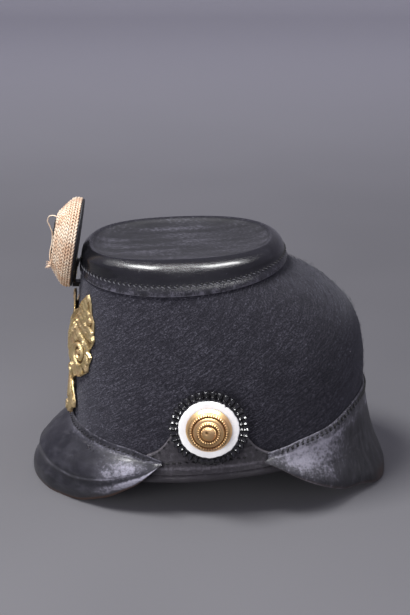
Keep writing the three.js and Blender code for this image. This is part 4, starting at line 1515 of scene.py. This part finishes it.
@dataclass(frozen=True)
class EaglePlate:
    """The eagle cast in relief, wrapped round the front of the felt."""

    rise: float = 70.0
    per_degree: float = 1.43
    stations: int = 640
    rings: int = 84

    def feathers(self) -> Array:
        """Rows of root x, root y, tip x, tip y, width and height, for the right half."""
        bone = np.array([(7, 21), (13, 27), (21, 30), (29, 35), (35, 41)], float)
        tips = np.array(
            [
                (44.4, 52), (43.4, 46.5), (46.5, 39.5), (48.2, 35), (49.6, 26.8), (50.9, 23), (47.6, 11),
                (44.4, 5.5), (43.2, 0.2), (36.8, -3.8), (33, -6.3), (27, -7.6), (20, -10),
            ]
        )
        rows = []
        for layer, (reach, width) in enumerate(((1.0, 6.8), (0.72, 6.6), (0.46, 6.0), (0.25, 5.0))):
            count = len(tips) - 2 * layer
            at = np.linspace(1, 0, count)
            root = np.stack([np.interp(at, np.linspace(0, 1, 5), bone[:, i]) for i in (0, 1)], -1)
            pick = np.linspace(0, len(tips) - 1, count)
            tip = np.stack([np.interp(pick, np.arange(len(tips)), tips[:, i]) for i in (0, 1)], -1)
            tip = root + (tip - root) * reach
            rows.append(np.concatenate([root, tip, np.tile([width, 1.0 + 0.55 * layer], (count, 1))], 1))
        turn = np.radians(np.linspace(2, 41, 6))
        for reach, width, layer in ((41.5, 8.0, 0), (31.0, 7.0, 1)):
            tail = np.stack([reach * np.sin(turn), -reach * np.cos(turn)], -1)
            root = np.stack([3 * np.sin(turn), np.full(6, -9.0)], -1)
            rows.append(np.concatenate([root, tail, np.tile([width, 1.1 + 0.3 * layer], (6, 1))], 1))
        return np.concatenate(rows)

    def relief(self, x: Array, y: Array) -> tuple[Array, Array]:
        """Height of the cast relief, and how far each place is a ridge, with painted shadow along the
        feathers' borders.

        A feather is the highest where it overlaps: h·sqrt(1 - q²) + layer step, q being the distance
        from its quill over its half width, with a fine quill line and slanting barbs.

        Args:
            x: place across, in mm.
            y: place above the eagle's middle.
        Returns:
            Height in mm, and the ridge value from 0 to 1.
        """
        x = np.abs(x)
        height, ridge = np.zeros_like(x), np.full_like(x, 0.25)
        for x0, y0, x1, y1, width, tall in self.feathers():
            run = np.hypot(x1 - x0, y1 - y0)
            ax, ay = (x1 - x0) / run, (y1 - y0) / run
            s = (x - x0) * ax + (y - y0) * ay
            q = (x - x0) * ay - (y - y0) * ax
            part = np.clip(s / run, 0, 1)
            half = width / 2 * np.sqrt(np.clip(1 - ((part - 0.45) / 0.56) ** 4, 0, 1)) + 1e-6
            inside = (s > 0) & (s < run) & (np.abs(q) < half)
            away = np.clip(np.abs(q) / half, 0, 1)
            form = tall * (0.35 + 0.75 * np.sqrt(1 - away**2)) * (0.55 + 0.6 * part)
            barbs = np.cos((s + 1.3 * np.abs(q)) * 2.6) * (away > 0.15)
            form = form + 0.35 * hump(q, 0, 0.4) - 0.28 * barbs
            # bright falls to 0 at each feather's border: a painted shadow where the feathers overlap.
            bright = 0.6 + 0.4 * ease(away, 0.4, 0.8) + 0.4 * hump(q, 0, 0.4) - 1.1 * ease(away, 0.86, 1.0)
            bright = bright - 0.3 * barbs
            above = inside & (form > height)
            height, ridge = np.where(above, form, height), np.where(above, bright, ridge)
        height = height * (1 - 0.55 * ease(y, 24, 34) * (1 - ease(x, 12, 18)))
        breast = 3.2 * hump(x, 0, 9) * hump(y, 10, 17) + 0.7 * hump(x, 0, 6) * hump(y, 36, 7)
        scale = np.abs(np.sin(0.62 * x + 0.31 * y)) * np.abs(np.sin(0.31 * y - 0.62 * x + 0.8))
        on_breast = ease(breast, 0.9, 1.6)
        height = height * (1 - on_breast) + (breast + 0.55 * scale) * on_breast
        ridge = ridge * (1 - on_breast) + (0.3 + 0.7 * scale) * on_breast
        for cx, cy, size in ((33.0, 10.0, 9.0), (20.0, -3.0, 5.5), (9.0, -34.0, 5.0)):
            away = np.hypot(x - cx, y - cy)
            coil = np.cos(1.35 * away - np.arctan2(y - cy, x - cx))
            near = 1 - ease(away, size - 1.0, size)
            height = height * (1 - 0.6 * near) + near * (1.3 + 1.1 * coil)
            ridge = ridge * (1 - near) + near * (0.55 + 0.6 * coil)
        crown = ease(y, 38, 41) * (1 - ease(x, 6, 8))
        height = height + crown * (0.3 + 0.3 * np.cos(x * 2.0))
        return height, np.clip(ridge, 0, 1)

    def build(self) -> None:
        """Adds the plate as a star-shaped grid from its middle to its outline."""
        down = np.linspace(0, 360, self.stations, endpoint=False)
        fold = np.where(down > 180, 360 - down, down)
        reach = np.interp(fold, EAGLE_REACH["down"], EAGLE_REACH["reach"])
        side = np.where(down > 180, -1, 1)[:, None]
        part = np.linspace(0, 1, self.rings)[None] ** 0.8
        x = reach[:, None] * part * np.sin(np.radians(fold))[:, None] * side
        y = -reach[:, None] * part * np.cos(np.radians(fold))[:, None]
        height, ridge = self.relief(x, y)
        rim = 1 - ease(part, 0.985, 1.0)
        stand = 0.6 + 1.9 * (1 - ease(np.abs(x), 16, 42))
        rise, angle = self.rise + y, x / self.per_degree
        skin = off_wall(rise, angle, stand + 0.9 + height * (0.35 + 0.65 * rim) - 0.35 * (1 - rim))
        lining = off_wall(rise, angle, stand)
        marks = {"ridge": np.clip(ridge + 0.6 * hump(part, 1, 0.02), 0, 1)}
        add_piece("eagle_relief", thick(skin, lining, True, marks), Finish.EAGLE, "eagle_plate", sharp=60)


@dataclass(frozen=True)
class Studio:
    """Floor, lights and camera.

    Attributes:
        lens: focal length in millimetres on a sensor 36 mm long.
        place: the camera's place in metres.
        pitch: degrees that it looks down.
    """

    lens: float = 90.73
    place: tuple[float, float, float] = (-0.00441, -1.0399, 0.48055)
    pitch: float = 19.0

    def build(self) -> None:
        """Adds everything that isn't the hat."""
        self.floor()
        self.lights()
        data = bpy.data.cameras.new("camera")
        data.lens, data.sensor_width, data.sensor_fit = self.lens, 36.0, "AUTO"
        data.clip_start, data.clip_end = 0.05, 20
        camera = bpy.data.objects.new("camera", data)
        camera.location = self.place
        camera.rotation_euler = (math.radians(90 - self.pitch), 0, 0)
        bpy.context.scene.collection.objects.link(camera)
        bpy.context.scene.camera = camera

    def floor(self) -> None:
        """A plain floor that curves up to a backdrop, with painted light that makes it paler far behind the
        hat.
        """
        t = np.linspace(0, 1, 40)
        flat = np.stack([-5 + 7.2 * t, np.zeros(40)], -1)
        bend = np.stack([2.2 + 0.7 * np.sin(t * math.pi / 2), 0.7 - 0.7 * np.cos(t * math.pi / 2)], -1)
        profile = np.concatenate([flat, bend[1:], [[2.9, 2.6]]])
        points = np.stack(np.broadcast_arrays(np.linspace(-5, 5, 3)[:, None], *profile.T), -1)
        vertices, faces = Sheet(points * 1000).arrays()[:2]
        mesh = bpy.data.meshes.new("floor")
        mesh.from_pydata(vertices * MM, [], faces)
        mesh.shade_smooth()
        floor = bpy.data.objects.new("floor", mesh)
        bpy.context.scene.collection.objects.link(floor)
        g = Graph("studio_floor")
        soft = g.fade(g.noise(g.place(), 400, 2), 0.3, 0.7, 0.0, 1.0)
        paper = g.mix(soft, (0.125, 0.124, 0.132), (0.145, 0.143, 0.152))
        # Darker near the hat, paler behind it: painted light that brightens the far floor and the backdrop.
        behind = g.node("SeparateXYZ", {"Vector": g.place()}).outputs["Y"]
        colour = g.mix(g.fade(behind, 350, 1900), paper, (0.52, 0.515, 0.54))
        mesh.materials.append(g.finish(Base_Color=colour, Roughness=0.9))

    def lights(self) -> None:
        """Two long soft boxes above, two square ones in front, and an even surround.

        The right one above gives reflections only, the ones in front none.
        """
        rows = (
            ("box_high_left", (-0.5, -0.3, 1.34), (0.6, 0.32), 23.0),
            ("box_high_right", (0.36, -0.34, 1.26), (0.6, 0.32), 20.0),
            ("box_front_left", (-1.1, -1.1, 0.3), (0.9, 0.6), 18.0),
            ("box_front_right", (1.1, -0.9, 0.3), (0.6, 0.6), 3.0),
        )
        for name, place, size, power in rows:
            data = bpy.data.lights.new(name, "AREA")
            data.shape, data.size, data.size_y, data.energy = "RECTANGLE", *size, power
            light = bpy.data.objects.new(name, data)
            light.location = place
            light.rotation_mode = "QUATERNION"
            light.rotation_quaternion = (Vector((0, 0, 0.1)) - Vector(place)).to_track_quat("-Z", "Y")
            light.visible_diffuse = name != "box_high_right"
            light.visible_glossy = "front" not in name
            bpy.context.scene.collection.objects.link(light)
        world = bpy.data.worlds.new("surround")
        world.use_nodes = True
        world.node_tree.nodes["Background"].inputs["Color"].default_value = (0.8, 0.77, 1.0, 1)
        world.node_tree.nodes["Background"].inputs["Strength"].default_value = 0.4
        bpy.context.scene.world = world
        bpy.context.scene.view_settings.view_transform = "Standard"


def main() -> None:
    """Builds the hat, piece by piece, then the studio."""
    logging.basicConfig(level=logging.INFO, format="%(message)s")
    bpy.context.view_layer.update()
    FeltBody().build()
    CrownCap().build()
    Visor("front_peak", PEAK_SEAM, PEAK_EDGE, PEAK_BORDER, 70, 0, 1, 7.9, Finish.PEAK).build()
    Visor("neck_guard", GUARD_SEAM, GUARD_EDGE, GUARD_BORDER, 71, 180, -1, 0.0, Finish.GUARD).build()
    RimRoll().build()
    for mirror in (False, True):
        Gusset().build(mirror)
        SideCockade().build(mirror)
    FieldBadge().build()
    EaglePlate().build()
    Studio().build()


if __name__ == "__main__":
    main()
